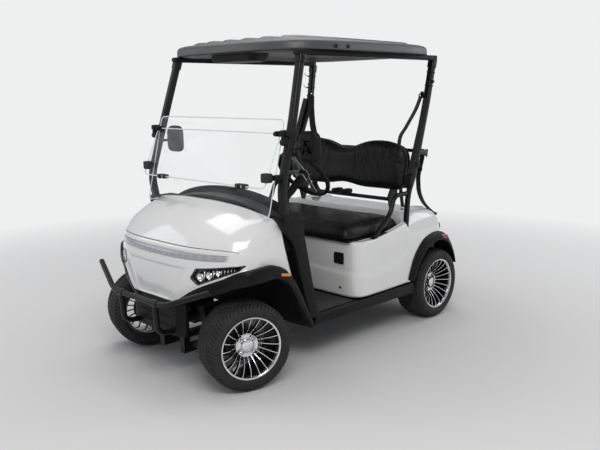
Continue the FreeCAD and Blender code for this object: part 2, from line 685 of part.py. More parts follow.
wall = float(d.skin)
roof_skin = float(d.roof_top - d.roof_rib)
roof_inside = roof_block(wall, float(roof_lip) - 5, roof_skin - wall)
rib_foot = d.rib_width / 2
rib_head = rib_foot - d.roof_rib
ribs = [prism([(y - rib_foot, roof_skin - 2), (y + rib_foot, roof_skin - 2), (y + rib_head, d.roof_top),
               (y - rib_head, d.roof_top)], "YZ", d.roof_rear + 126, d.roof_front - 108)
        for y in (-390, -235, -80, 80, 235, 390)]
made("roof", roof_block(0, float(roof_lip), roof_skin).fuse(ribs).cut(roof_inside))
liner_plate = block(-far, far, -far, far, roof_lip, roof_lip + 8)
liner = made("roof_liner", roof_inside.common(liner_plate))
roof_bar = box("roof_bar", (d.roof_rear + 8, d.roof_front - 63), (508, 562), (liner_low, roof_lip))
console = box("roof_console", (d.roof_front - 268, d.roof_front - 68), (-200, 200),
              (liner_low - 18, roof_lip))
fuse("roof_frame", liner, roof_bar, mirrored("roof_bar_right", roof_bar), console)

# Struts, windshield with its folded upper pane, and mirrors
trim_top = d.hood_height + 10
front_strut = square_bar([(411, 538, liner_low), (510, 568, trim_top + 425), (617, 585, trim_top + 68),
                          (589, 582, cover_top)], d.strut_size)
pair_of("front_struts", front_strut)
rear_strut = square_bar([(-836, 532, liner_low), (-789, 522, liner_low - 261),
                         (-602, 550, d.seat_ledge + 341), (-560, 549, d.seat_ledge + 232),
                         (-545, 548, d.seat_ledge + 22)], d.strut_size)
rear_strut = rear_strut.cut(body_outer)
pair_of("rear_struts", rear_strut)
trim_shape = block(d.cowl_rear + 40, d.cowl_rear + 76, -d.glass_half, d.glass_half, dash_top - 25, trim_top)
trim_shape = trim_shape.cut(nose_outer)
group("cowl_covers", made("cowl_trim", trim_shape), side_cover, mirrored("side_cover_right", side_cover))
glass_top = trim_top + 427
lower_pane = pad("lower_pane", "XZ", [(glass_foot - d.glass, trim_top), (glass_foot, trim_top),
                 (glass_head, glass_top), (glass_head - d.glass, glass_top)], -d.glass_half, d.glass_half)
fold_top, fold_foot = (glass_head + 24, glass_top - 65), (glass_foot + 37, trim_top + 91)
upper_pane = pad("upper_pane", "XZ", [fold_top, (fold_top[0] + d.glass, fold_top[1]),
                 (fold_foot[0] + d.glass, fold_foot[1]), fold_foot], -d.glass_half, d.glass_half)
group("windshield", lower_pane, upper_pane)
doc.recompute()
panes = [lower_pane.Shape, upper_pane.Shape, front_strut]
hinge_clip = block(glass_head - 8, glass_head + 50, 515, 590, glass_top - 77, glass_top - 43).cut(panes)
hinge_clip = max(hinge_clip.Solids, key=lambda solid: solid.Volume)
rest_clip = block(glass_foot - 58, glass_foot + 42, 520, 590, trim_top + 128, trim_top + 164).cut(panes)
rest_clip = Part.makeCompound([solid for solid in rest_clip.Solids if solid.Volume > 20000])
pair_of("windshield_clips", hinge_clip, rest_clip)
mirror_head = block(398, 436, 522, 672, trim_top + 202, trim_top + 374)
mirror_arm = block(436, 560, 585, 603, trim_top + 272, trim_top + 294).cut(front_strut)
mirror_arm = [solid for solid in mirror_arm.Solids if solid.BoundBox.XMin < 440][0]
pair_of("side_mirrors", mirror_head.fuse(mirror_arm).removeSplitter())

# Seat: board and cushion that lift as one, hinges, backrest, its frame and hip hoops
board_half = d.cushion_half - 8
box("seat_board", (d.cushion_rear, d.cushion_front - 20), (-board_half, board_half),
    (d.seat_ledge + d.play, cushion_low))
corner_cut = 70
cushion_plan = [(d.cushion_rear, d.cushion_half), (d.cushion_front - corner_cut, d.cushion_half),
                (d.cushion_front, d.cushion_half - corner_cut)]
pad("seat_cushion", "XY", level_halves(cushion_plan), cushion_low, cushion_top)
hinge_radius = (d.cushion_rear - d.seat_back_x) / 2 - d.play
hinge_x = (d.cushion_rear + d.seat_back_x) / 2
hinge_z = cushion_top - 15
hinge_leaf = box("hinge_leaf", (d.seat_back_x, hinge_x), (180, 240), (hinge_z - 35, hinge_z))
hinge_barrel = rod("hinge_barrel", hinge_radius, 60, (hinge_x, 180, hinge_z), along_y)
hinge = fuse("lid_hinge", hinge_leaf, hinge_barrel)
back_outline = [(0, back_low + 13), (110, back_low + 5), (200, back_low), (500, back_low + 5),
                (d.back_half, back_low + 35), (d.back_half, back_top - 95), (478, back_top - 39),
                (400, back_top - 10), (270, back_top), (150, back_top - 18), (0, back_top - 52)]
back_outline = back_outline + [(-a, b) for a, b in reversed(back_outline[1:-1])]
back_lean = -5
back_x = -578


def leaned(shape):
    # A shape set at the backrest's place, leaning back about its lower edge
    shape = shape.copy()
    shape.rotate(vec(0, 0, float(back_low)), vec(0, 1, 0), back_lean)
    shape.translate(vec(back_x, 0, 0))
    return shape


half_depth = float(d.back_depth) / 2
back_face = prism(back_outline, "YZ", -half_depth, half_depth)
made("backrest_cushion", leaned(back_face))
shell_depth = 10
back_panel = prism(back_outline, "YZ", -half_depth - shell_depth, -half_depth, 14)
made("backrest_panel", leaned(back_panel))
bar_z = float(cushion_top) + 85
bar_radius = 13
bracket_side = [(-600, bar_z - 70), (-562, bar_z - 70), (-535, bar_z + 25), (-640, bar_z + 205),
                (-660, bar_z + 205), (-640, bar_z + 25)]
bracket = prism(bracket_side, "XZ", 400, 408)
bracket = bracket.cut([leaned(back_face), leaned(back_panel), body_outer])
bracket = max(bracket.Solids, key=lambda solid: solid.Volume)
back_bar = Part.makeCylinder(bar_radius, 800, vec(-590, -400, bar_z), vec(0, 1, 0))
back_frame = made("back_frame", bracket.fuse([right_of(bracket), back_bar]).removeSplitter())
hoop_side = [(-215, d.seat_ledge + 2), (-380, d.seat_ledge + 132), (-425, d.seat_ledge + 245),
             (-560, d.seat_ledge + 245)]
hoop = tube_shape([(x, d.hoop_y, z) for x, z in hoop_side], d.hoop_radius, 45)
hoop = hoop.cut([body_outer, rear_strut])
hoop = max(hoop.Solids, key=lambda solid: solid.Volume)
hoops = pair_of("hip_hoops", hoop)
group("seat_frame", back_frame, hoops, hinge, mirrored("lid_hinge_right", hinge))

# Belts, buckles, bag rack and its strap
def strap_shape(points, across, thick):
    # Flat webbing through points, its width along one direction
    across = vec(*across)
    sections = []
    for k, p in enumerate(points):
        p = vec(*[float(c) for c in p])
        last, ahead = points[max(k - 1, 0)], points[min(k + 1, len(points) - 1)]
        last, ahead = vec(*[float(c) for c in last]), vec(*[float(c) for c in ahead])
        face_way = (ahead - last).cross(across).normalize() * (thick / 2)
        half_way = across * 0.5
        ring = [p - half_way - face_way, p + half_way - face_way,
                p + half_way + face_way, p - half_way + face_way]
        sections.append(Part.makePolygon(ring + [ring[0]]))
    return Part.makeLoft(sections, True, True)


belt_thick = 3
anchor_z = liner_low - 245
reel_top = d.seat_ledge + 364
anchor = block(-792, -752, 478, 501, anchor_z, anchor_z + 50).cut(rear_strut)
long_belt = strap_shape([(-772, 489, anchor_z), (-682, 416, back_top + 1), (-690, 410, deck_top + 232),
                         (-700, 410, deck_top - 28)], (18, 42, 0), belt_thick)
long_belt = long_belt.cut(body_outer)
side_belt = strap_shape([(-752, 545, anchor_z - 20), (-577, 548, reel_top)], (0, 44, 0), belt_thick)
reel = block(-578, -546, 528, 570, reel_top - 87, reel_top).cut(rear_strut)
reel = max(reel.Solids, key=lambda solid: solid.Volume)
side_belt = side_belt.cut([rear_strut, reel])
side_belt = max(side_belt.Solids, key=lambda solid: solid.Volume)
buckle_low = bar_z + bar_radius + float(d.play)
buckle = block(-590, -505, 18, 62, buckle_low, buckle_low + 24)
pair_of("seat_belts", anchor, long_belt, side_belt, reel, buckle)
rack_z = float(back_top) - 88
rack_x = -794
rack_radius = 12.5
rack_plan = level_halves([(-640, 541), (rack_x, 541)])
rack = tube_shape([(x, y, rack_z) for x, y in rack_plan], rack_radius, 60)
rack = rack.cut([rear_strut, right_of(rear_strut)])
made("bag_rack", max(rack.Solids, key=lambda solid: solid.Volume))
strap_y = 455
strap_x = rack_x - rack_radius - belt_thick / 2 - float(d.play)
strap_side = [(strap_x, rack_z + 13), (strap_x, rack_z - 7), (-774, rack_z - 137), (-800, rack_z - 247),
              (-880, deck_top + 22), (-985, deck_top - 78)]
bag_strap = strap_shape([(x, strap_y, z) for x, z in strap_side], (0, 36, 0), belt_thick)
bag_strap = bag_strap.cut(body_outer)
bag_strap = max(bag_strap.Solids, key=lambda solid: solid.Volume)
pair_of("bag_straps", bag_strap)

# Brush guard: a wrap-round bar on two legs that stand on the bumper wall
guard_low, guard_high = d.cowl_low + 7, d.cowl_low + 111
guard_bar = tube_shape([(1050, 506, guard_high), (1139, 234, guard_low), (1139, -234, guard_low),
                        (1050, -506, guard_high)], d.guard_radius, 60)
guard_leg = tube_shape([(1138, 160, guard_low - 3), (1128, 160, wall_low + 38), (1020, 160, wall_low + 28)],
                       d.guard_radius, 50)
wall_solid = prism([(1030, 183), (1014, 176), (1014, -176), (1030, -183)], "XY", wall_low, d.cowl_low + 8)
guard = guard_bar.fuse([guard_leg, right_of(guard_leg)]).cut(wall_solid)
guard = guard.cut(block(900, 1020, -300, 300, 200, 400)).removeSplitter()
made("brush_guard", max(guard.Solids, key=lambda solid: solid.Volume))

# Steering wheel and column
axis_way = (column_point(-100) - column_point(0)).normalize()
column = Part.makeCylinder(float(d.column_radius), 450, column_point(column_top), axis_way * -1)
column = column.cut(dash_block)
column = max(column.Solids, key=lambda solid: solid.Volume)
made("steering_column", column)
hub = Part.makeCylinder(34, column_top - 1 + 12, column_point(column_top - float(d.play)), axis_way)
ring = Part.makeTorus(float(d.wheel_ring), float(d.wheel_grip))
spokes = []
for angle in (0, 180, 270):
    spoke = Part.makeBox(float(d.wheel_ring) - 20, 36, 8, vec(20, -18, -4))
    spoke.rotate(vec(0, 0, 0), vec(0, 0, 1), angle)
    spokes.append(spoke)
flat_wheel = ring.fuse(spokes)
tilt = FreeCAD.Rotation(vec(0, 0, 1), axis_way)
flat_wheel.Placement = FreeCAD.Placement(column_point(0), tilt)
made("steering_wheel", flat_wheel.fuse(hub))

# Wheels: one tyre and one rim, turned about the axle, then set at four places
def turned(name, points):
    # An outline of (distance from the wheel's middle, radius) carried round the axle
    body = doc.addObject("PartDesign::Body", name)
    outline = sketch(body, "YZ", points, 0)
    solid = body.newObject("PartDesign::Revolution", name + "_round")
    solid.Profile = outline
    solid.ReferenceAxis = (outline, ["H_Axis"])
    solid.Angle = 360
    body.Tip = solid
    return body


half = d.tyre_width / 2
tyre_points = [(half - 14, d.bead_radius), (half, d.bead_radius + 29), (half, d.bead_radius + 49),
               (half - 16, d.tyre_radius - 4), (half - 34, d.tyre_radius)]
tyre_points = tyre_points + [(-a, b) for a, b in reversed(tyre_points)]
tyre_master = turned("tyre", tyre_points)
barrel = d.bead_radius - d.rim_wall
edge = half - 9
lip = edge + 3
rim_points = [(edge, d.bead_radius), (edge, d.flange_radius), (lip, d.flange_radius), (lip, barrel + 4),
              (76, barrel - 2), (66, 62), (58, 58), (58, 0), (d.hub_offset, 0),
              (d.hub_offset, 62), (56, 66), (64, barrel - 12), (60, barrel), (-lip, barrel),
              (-lip, d.flange_radius), (-edge, d.flange_radius), (-edge, d.bead_radius)]
rim_round = turned("rim_round", rim_points)
pocket_low, pocket_high = 72, barrel - 9
pitch = radians(360) / float(d.rim_blades)
corners = []
for r, side in ((pocket_low, -1), (pocket_high, -1), (pocket_high, 1), (pocket_low, 1)):
    reach = float(r)
    angle = side * (pitch / 2 - float(d.blade_width) / 2 / reach)
    corners.append((reach * sin(angle), reach * cos(angle)))
pockets = []
for k in range(int(float(d.rim_blades))):
    pocket = prism(corners, "XZ", d.hub_offset, half)
    pocket.rotate(vec(0, 0, 0), vec(0, 1, 0), k * 360 / float(d.rim_blades))
    pockets.append(pocket)
rim_master = cut("rim", rim_round, made("rim_pockets", Part.makeCompound(pockets)))


def wheel_place(axle, side, offset, steer):
    # The place of a wheel that stands offset outboard of a pivot on its axle line
    turn = FreeCAD.Rotation(vec(0, 0, 1), steer)
    if side < 0:
        spin = turn.multiply(FreeCAD.Rotation(vec(0, 0, 1), 180))
    else:
        spin = turn
    return spin, turn.multVec(vec(0, side * float(offset), 0))


kingpin_reach = d.front_track / 2 - kingpin_y
rest_turn = -float(d.rest_steer)
wheels = (("front_left", d.front_axle_x, 1, kingpin_y, kingpin_reach, rest_turn),
          ("front_right", d.front_axle_x, -1, kingpin_y, kingpin_reach, rest_turn),
          ("rear_left", d.rear_axle_x, 1, d.rear_track / 2, 0, 0),
          ("rear_right", d.rear_axle_x, -1, d.rear_track / 2, 0, 0))
for name, axle, side, pivot, reach, steer in wheels:
    spin, shift = wheel_place(axle, side, reach, steer)
    for kind, master in (("tyre", tyre_master), ("rim", rim_master)):
        item = group(name + "_" + kind, master)
        item.Placement = FreeCAD.Placement(vec(0, 0, 0), spin)
        place(item, axle + shift.x, pivot * side + shift.y, axle_z)

# Steering knuckles, tie rod and pitman arm: arms of one length that stay parallel
rod_z = float(d.rod_rise)
eye_radius, pin_radius = 16, 7
stub = float(kingpin_reach + d.hub_offset - d.play)
reach = float(d.arm_reach)
rod_half = float(d.rod_radius)


def steering_arm(low, high, pin_low, pin_high):
    # An arm straight back from its pivot with an eye and a pin at its end
    arm = Part.makeBox(reach, 20, high - low, vec(-reach, -10, low))
    eye = Part.makeCylinder(eye_radius, high - low, vec(-reach, 0, low))
    pin = Part.makeCylinder(pin_radius, pin_high - pin_low, vec(-reach, 0, pin_low))
    return arm.fuse([eye, pin])


def set_steered(name, shape, y):
    item = made(name, shape)
    pivot = vec(float(d.front_axle_x), float(y), 0)
    item.Placement = FreeCAD.Placement(pivot, FreeCAD.Rotation(vec(0, 0, 1), rest_turn))
    return item


link_low = rod_z - rod_half - 1 - 12
knuckle_arm = steering_arm(link_low, link_low + 12, link_low, rod_z + rod_half + 3)
for name, side in (("left", 1), ("right", -1)):
    post = Part.makeCylinder(26, knuckle_high - knuckle_low, vec(0, 0, knuckle_low))
    axle_stub = Part.makeCylinder(20, stub, vec(0, 0, float(axle_z)), vec(0, side, 0))
    plate = Part.makeCylinder(100, 8, vec(0, side * 30, float(axle_z)), vec(0, side, 0))
    bore = Part.makeCylinder(float(d.kingpin_radius + d.play), 300, vec(0, 0, 100))
    knuckle = post.fuse([axle_stub, plate, knuckle_arm]).cut(bore).removeSplitter()
    set_steered("front_%s_knuckle" % name, knuckle, kingpin_y * side)
pitman_low = rod_z + rod_half + 1
pitman_top = rod_z + 22
pitman = steering_arm(pitman_low, pitman_top, rod_z - rod_half - 3, pitman_top)
pitman = pitman.fuse(Part.makeCylinder(18, pitman_top - pitman_low, vec(0, 0, pitman_low))).removeSplitter()
set_steered("pitman_arm", pitman, 0)
eye_x = float(d.front_axle_x) - reach * cos(radians(float(d.rest_steer)))
eye_shift = reach * sin(radians(float(d.rest_steer)))
eye_places = [vec(eye_x, float(y) + eye_shift, rod_z) for y in (kingpin_y, -kingpin_y, 0)]
tie_rod = Part.makeCylinder(rod_half, float(d.kingpin_span), eye_places[1], vec(0, 1, 0))
for at in eye_places:
    tie_rod = tie_rod.fuse(Part.makeCylinder(eye_radius, 2 * rod_half, at - vec(0, 0, rod_half)))
for at in eye_places:
    tie_rod = tie_rod.cut(Part.makeCylinder(pin_radius + float(d.play), 60, at - vec(0, 0, 30)))
made("tie_rod", tie_rod.removeSplitter())

# Which objects are the cart's pieces
pieces = (
    "frame_rails", "cross_members", "front_subframe", "floor_pan", "side_sills", "battery_block",
    "drive_motor", "rear_axle", "rear_suspension", "front_suspension", "front_left_knuckle",
    "front_right_knuckle", "pitman_arm", "tie_rod", "front_cowl", "cowl_covers", "light_bar",
    "headlights", "front_bumper", "front_flares", "rear_flares", "side_markers", "brush_guard",
    "rear_body", "tail_lights", "charge_port", "bag_well_mat", "rear_bumper", "dash", "footwell_wall",
    "pedals", "steering_column", "steering_wheel", "windshield", "windshield_clips", "front_struts",
    "rear_struts", "roof", "roof_frame", "side_mirrors", "seat_board", "seat_cushion", "backrest_cushion",
    "backrest_panel", "seat_frame", "seat_belts", "bag_rack", "bag_straps",
) + tuple(wheel[0] + kind for wheel in wheels for kind in ("_tyre", "_rim"))

doc.recompute()
for item in doc.Objects:
    if "Invalid" in item.State or "Error" in item.State:
        raise RuntimeError("%s failed" % item.Label)
for name in pieces:
    item = doc.getObject(name)
    if item.Shape.isNull() or not item.Shape.isValid() or not item.Shape.Solids:
        raise RuntimeError("%s has no valid solid" % name)
for name in pieces:
    doc.getObject(name).Shape.exportStep("parts/%s.step" % name)
print(len(pieces), "pieces written")
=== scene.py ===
import bmesh
import bpy
import numpy as np
from math import cos, pi, radians, sin
from mathutils import Matrix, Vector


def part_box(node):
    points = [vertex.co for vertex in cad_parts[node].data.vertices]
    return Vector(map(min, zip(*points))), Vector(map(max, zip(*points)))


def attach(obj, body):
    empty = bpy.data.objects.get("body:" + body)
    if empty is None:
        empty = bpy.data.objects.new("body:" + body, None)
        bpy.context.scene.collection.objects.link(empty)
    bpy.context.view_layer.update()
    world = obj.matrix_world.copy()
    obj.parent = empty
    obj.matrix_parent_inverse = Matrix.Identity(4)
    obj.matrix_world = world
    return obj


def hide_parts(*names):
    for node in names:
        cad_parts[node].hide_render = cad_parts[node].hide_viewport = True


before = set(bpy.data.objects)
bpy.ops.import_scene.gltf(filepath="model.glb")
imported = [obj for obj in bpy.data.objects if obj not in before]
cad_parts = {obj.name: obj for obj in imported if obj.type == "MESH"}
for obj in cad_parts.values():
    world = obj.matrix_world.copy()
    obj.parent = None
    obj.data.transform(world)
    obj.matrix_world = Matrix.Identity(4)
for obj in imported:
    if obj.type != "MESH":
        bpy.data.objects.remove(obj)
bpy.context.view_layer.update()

# Golf cart for two in white with black trim. Metres, X forward, Y to its left, Z up.
print("frame loaded:", len(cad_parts), "nodes")


# Surfaces: parts are dictionaries that hold a grid of points, numbered (row, column, axis).
mm = 0.001
meshing = dict(weld=1e-5, sliver=1e-6)  # how near points are joined, and the shortest edge kept


def spline(points, at, closed=False):
    # Curve through the points along the first axis: on each span a cubic whose end slopes are
    # half the step between the neighbours on either side; an open curve's ends are reflected.
    # at is a number of even steps, or the places to read, where point k is at place k.
    p = np.asarray(points, float)
    spans = len(p) if closed else len(p) - 1
    t = np.linspace(0, spans, at, endpoint=not closed) if np.isscalar(at) else np.asarray(at, float)
    if closed:
        p = np.concatenate([p[-1:], p, p[:2]])
    else:
        p = np.concatenate([2 * p[:1] - p[1:2], p, 2 * p[-1:] - p[-2:-1]])
    k = np.clip(t.astype(int), 0, spans - 1)
    f = (t - k).reshape((-1,) + (1,) * (p.ndim - 1))
    a, b, c, e = p[k], p[k + 1], p[k + 2], p[k + 3]
    return 0.5 * (2 * b + (c - a) * f + (2 * a - 5 * b + 4 * c - e) * f**2 + (3 * b - a - 3 * c + e) * f**3)


def skin(net, rows, columns):
    # Surface through a net of points: the spline above along one way, then along the other.
    return spline(spline(net, rows).swapaxes(0, 1), columns).swapaxes(0, 1)


def normals(grid):
    # At each point of a grid, the unit cross product of its two ways.
    return unit(np.cross(np.gradient(grid, axis=0), np.gradient(grid, axis=1)))


def smooth(value, low, high):
    # 0 below low, 1 above high, an S curve between.
    f = np.clip((value - low) / (high - low), 0, 1)
    return f * f * (3 - 2 * f)


def inside(points, outline):
    # How far flat points are inside a convex anticlockwise outline: the least distance to its sides.
    edge = unit(np.roll(outline, -1, axis=0) - outline)
    inward = np.stack([-edge[:, 1], edge[:, 0]], axis=1)
    return np.min(np.einsum("...kd,kd->...k", points[..., None, :] - outline, inward), axis=-1)


def mirroredNet(half):
    # A net given from the middle column outwards, made whole across the cart.
    half = np.asarray(half, float)
    return np.concatenate([half[:0:-1] * np.array([1, -1, 1.0]), half]).swapaxes(0, 1)


def unit(v):
    # Vectors divided by their lengths.
    return v / np.maximum(np.linalg.norm(v, axis=-1, keepdims=True), 1e-12)


def evenly(line, count, closed=False):
    # Points at equal steps of length along a polyline.
    line = np.asarray(line, float)
    if closed:
        line = np.concatenate([line, line[:1]])
    run = np.concatenate([[0], np.cumsum(np.linalg.norm(np.diff(line, axis=0), axis=1))])
    at = np.linspace(0, run[-1], count, endpoint=not closed)
    return np.stack([np.interp(at, run, line[:, k]) for k in range(line.shape[1])], axis=1)


def rounded(corners, radius, steps=6):
    # Closed outline with each corner turned into a quadratic curve that starts and ends at
    # radius (or less, on short sides) from the corner.
    c = np.asarray(corners, float)
    radius = np.broadcast_to(radius, len(c))[:, None]
    back, ahead = np.roll(c, 1, axis=0) - c, np.roll(c, -1, axis=0) - c
    reachBack = np.minimum(radius, np.linalg.norm(back, axis=1, keepdims=True) * 0.48)
    reachAhead = np.minimum(radius, np.linalg.norm(ahead, axis=1, keepdims=True) * 0.48)
    a, b = c + unit(back) * reachBack, c + unit(ahead) * reachAhead
    f = np.linspace(0, 1, steps)[None, :, None]
    curve = a[:, None] * (1 - f) ** 2 + c[:, None] * 2 * f * (1 - f) + b[:, None] * f**2
    return curve.reshape(-1, c.shape[1])


def drawnIn(outline, amount):
    # A closed flat outline moved inwards along the mean of its two edge normals (it runs
    # anticlockwise, or amount changes sign).
    edge = unit(np.roll(outline, -1, axis=0) - outline)
    normal = np.stack([edge[:, 1], -edge[:, 0]], axis=1)
    mean = unit(normal + np.roll(normal, 1, axis=0))
    lift = 1 / np.maximum(0.5, np.sum(mean * normal, axis=1, keepdims=True))
    return outline - mean * lift * amount


def anticlockwise(outline):
    # The outline, turned round if its signed area (half the sum of cross products) is negative.
    x, y = outline[:, 0], outline[:, 1]
    area = np.sum(x * np.roll(y, -1) - y * np.roll(x, -1))
    return outline if area > 0 else outline[::-1]


def shrunk(ring, share=0.02):
    # A ring drawn towards its middle to a share of its size.
    return ring * share + ring.mean(axis=0) * (1 - share)


def atX(x, flat):
    # Flat (y, z) points at one x.
    return np.column_stack([np.full(len(flat), x), flat])


def atZ(flat, z):
    # Flat (x, y) points at one z.
    return np.column_stack([flat, np.full(len(flat), z)])


def slab(outline, low, high, plane="XY", edge=0.003, steps=3):
    # A flat outline carried from low to high, its rims rounded by quarter circles of the size
    # edge: rings of the outline drawn in by edge*(1-sin a) at a distance edge*(1-cos a) inside.
    outline = anticlockwise(np.asarray(outline, float))
    a = np.linspace(0, pi / 2, steps)
    draw = np.concatenate([edge * (1 - np.sin(a)), edge * (1 - np.sin(a[::-1]))])
    level = np.concatenate([low + edge * (1 - np.cos(a)), high - edge * (1 - np.cos(a[::-1]))])
    rings = np.stack([atZ(drawnIn(outline, d), z) for d, z in zip(draw, level)])
    order = {"XY": (0, 1, 2), "XZ": (0, 2, 1), "YZ": (2, 0, 1)}[plane]
    return dict(grid=rings[:, :, order], wrapV=True, caps=True, flip=plane == "XZ")


def box(x, y, z, edge=0.003, tone=0):
    # A block with rounded rims, from its two ends along each axis.
    ring = rounded([(x[0], y[0]), (x[1], y[0]), (x[1], y[1]), (x[0], y[1])], edge * 1.5, 4)
    return dict(slab(ring, z[0], z[1], "XY", edge), tone=tone)


def boxes(rows, tone=0):
    # Blocks from rows of millimetres: x, y and z from and to, and the radius of the rims.
    return [box(row[:2], row[2:4], row[4:6], row[6], tone) for row in mm * np.array(rows, float)]


def pathFrames(path, up=(0, 0, 1), closed=False):
    # At each point of a path: a side at right angles to it and to up, and the third way.
    if closed:
        ahead = unit(np.roll(path, -1, axis=0) - np.roll(path, 1, axis=0))
    else:
        ahead = unit(np.gradient(path, axis=0))
    side = unit(np.cross(np.broadcast_to(np.asarray(up, float), ahead.shape), ahead))
    return side, np.cross(ahead, side)


def carried(profile, path, up=(0, 0, 1), closed=False, scale=None):
    # A closed profile of (side, lift) carried along a path; scale widens it from point to point.
    side, lift = pathFrames(path, up, closed)
    profile = np.asarray(profile, float)
    size = np.ones((len(path), 2)) if scale is None else np.asarray(scale, float).reshape(len(path), -1)
    size = np.broadcast_to(size, (len(path), 2))
    grid = (path[:, None] + side[:, None] * (profile[None, :, :1] * size[:, None, :1])
            + lift[:, None] * (profile[None, :, 1:] * size[:, None, 1:]))
    return dict(grid=grid, wrapU=closed, wrapV=True, caps=not closed)


def roundBar(path, radius, sides=20, up=(0, 0, 1), closed=False):
    # A circle carried along a path.
    a = np.linspace(0, 2 * pi, sides, endpoint=False)
    return carried(np.column_stack([np.cos(a), np.sin(a)]) * radius, path, up, closed)


def bent(points, bend, count=60):
    # A path of straight runs whose corners are rounded to quadratic curves of reach bend.
    p = np.asarray(points, float)
    if len(p) > 2:
        loop = rounded(p, np.concatenate([[0], np.full(len(p) - 2, bend), [0]]), 10)
        p = loop[9:-9]
    return evenly(p, count)


def turnedAbout(profile, steps):
    # A profile of (distance along the axis, radius) carried round the Y axis.
    way, r = np.asarray(profile, float).T
    a = np.linspace(0, 2 * pi, steps, endpoint=False)[:, None]
    return dict(grid=np.stack([r * np.cos(a), way + 0 * a, r * np.sin(a)], axis=2), wrapU=True)


def along(part, axis, centre, turn=0.0):
    # A part made round the Y axis, its Y way laid along another axis, and set at a centre.
    y = unit(np.asarray(axis, float))
    hint = np.array([0, 0, 1.0]) if abs(y[2]) < 0.9 else np.array([1.0, 0, 0])
    x = unit(np.cross(y, hint))
    z = np.cross(x, y)
    x, z = x * cos(turn) + z * sin(turn), z * cos(turn) - x * sin(turn)
    return dict(part, grid=part["grid"] @ np.stack([x, y, z]) + np.asarray(centre, float))


def lathe(profile, steps, axis, centre, tone=0, turn=0.0):
    # A profile of (distance along the axis, radius) turned about an axis through a centre.
    return dict(along(turnedAbout(profile, steps), axis, centre, turn), tone=tone)


def disc(axis, centre, radius, depth, edge=0.002, steps=32, tone=0):
    # A round button or bolt head: a short cylinder with a rounded rim, from the centre outwards.
    profile = [(0, 0), (0, radius), (depth - edge, radius), (depth - edge * 0.3, radius - edge * 0.3),
               (depth, radius - edge), (depth, 0)]
    return lathe(profile, steps, axis, centre, tone)


def otherSide(part):
    # The same part on the right side of the cart: Y changes sign, so the faces are turned back.
    return dict(part, grid=part["grid"] * np.array([1, -1, 1.0]), flip=not part.get("flip", False))


def pair(*parts):
    # The parts and their mirror images.
    return list(parts) + [otherSide(part) for part in parts]


def gridFaces(nu, nv, wrapU, wrapV, flip):
    # Four point numbers for each cell of a grid: the point, the next row's, both next, the next
    # column's; the last row or column joins the first where it wraps, and flip turns the face.
    i = np.arange(nu if wrapU else nu - 1)[:, None]
    j = np.arange(nv if wrapV else nv - 1)[None, :]
    i2, j2 = (i + 1) % nu, (j + 1) % nv
    quads = np.stack([i * nv + j, i2 * nv + j, i2 * nv + j2, i * nv + j2], axis=2).reshape(-1, 4)
    return quads[:, ::-1] if flip else quads


def joined(parts):
    # Points, faces and each face's material number of all parts, with an end face on each
    # capped end; keep marks the cells of a grid that stay.
    points, faces, tones, base = [], [], [], 0
    for part in parts:
        grid = part["grid"]
        nu, nv = grid.shape[:2]
        flip = part.get("flip", False)
        quads = gridFaces(nu, nv, part.get("wrapU", False), part.get("wrapV", False), flip) + base
        if "keep" in part:
            quads = quads[part["keep"].ravel()]
        made = quads.tolist()
        if part.get("caps"):
            first, last = list(range(base, base + nv)), list(range(base + (nu - 1) * nv, base + nu * nv))
            made += [first[::-1], last] if flip else [first, last[::-1]]
        points.append(grid.reshape(-1, 3))
        faces += made
        tones += [part.get("tone", 0)] * len(made)
        base += nu * nv
    return np.concatenate(points), faces, tones


def piece(name, parts, materials, stands=(), body="chassis", sharp=40, thick=0, out=True):
    # One object from its parts, with materials by name; a wall grows inwards if thick is set.
    # It rides on its body, and stands for the CAD nodes that it replaces.
    parts = [parts] if isinstance(parts, dict) else parts
    points, faces, tones = joined(parts)
    mesh = bpy.data.meshes.new(name)
    mesh.from_pydata(points, [], faces)
    for material in materials.split():
        mesh.materials.append(mat[material])
    mesh.polygons.foreach_set("material_index", tones)
    if any("uv" in part for part in parts):
        flat = np.concatenate([part.get("uv", part["grid"][..., :2] * 0).reshape(-1, 2) for part in parts])
        corner = np.empty(len(mesh.loops), int)
        mesh.loops.foreach_get("vertex_index", corner)
        mesh.uv_layers.new(name="surface").data.foreach_set("uv", flat[corner].ravel())
    item = bpy.data.objects.new(name, mesh)
    bpy.context.scene.collection.objects.link(item)
    tidyMesh(mesh, out)
    finishMesh(mesh, sharp)
    if thick:
        wall = item.modifiers.new("wall", "SOLIDIFY")
        wall.thickness, wall.offset, wall.use_even_offset = thick, -1, True
    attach(item, body)
    if stands:
        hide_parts(*stands)
    return item


def tidyMesh(mesh, out):
    # Points that fall together become one, and the faces of closed shells point outwards.
    work = bmesh.new()
    work.from_mesh(mesh)
    bmesh.ops.remove_doubles(work, verts=work.verts, dist=meshing["weld"])
    bmesh.ops.dissolve_degenerate(work, edges=work.edges, dist=meshing["sliver"])
    if out:
        bmesh.ops.recalc_face_normals(work, faces=work.faces)
    work.to_mesh(mesh)
    work.free()


def finishMesh(mesh, sharp):
    # Smooth shading, broken at edges that turn by more than sharp degrees.
    mesh.shade_smooth()
    if sharp < 180:
        mesh.set_sharp_from_angle(angle=radians(sharp))
    mesh.update()


def fixed(item):
    # The item's modifiers made part of its mesh.
    bpy.context.view_layer.update()
    seen = item.evaluated_get(bpy.context.evaluated_depsgraph_get())
    mesh = bpy.data.meshes.new_from_object(seen)
    item.modifiers.clear()
    item.data = mesh
    return item


def outward(part, centre):
    # An open surface with its faces looking away from a point.
    away = np.sum(normals(part["grid"]) * (part["grid"] - np.asarray(centre, float)))
    return dict(part, flip=bool(away < 0))


# Materials

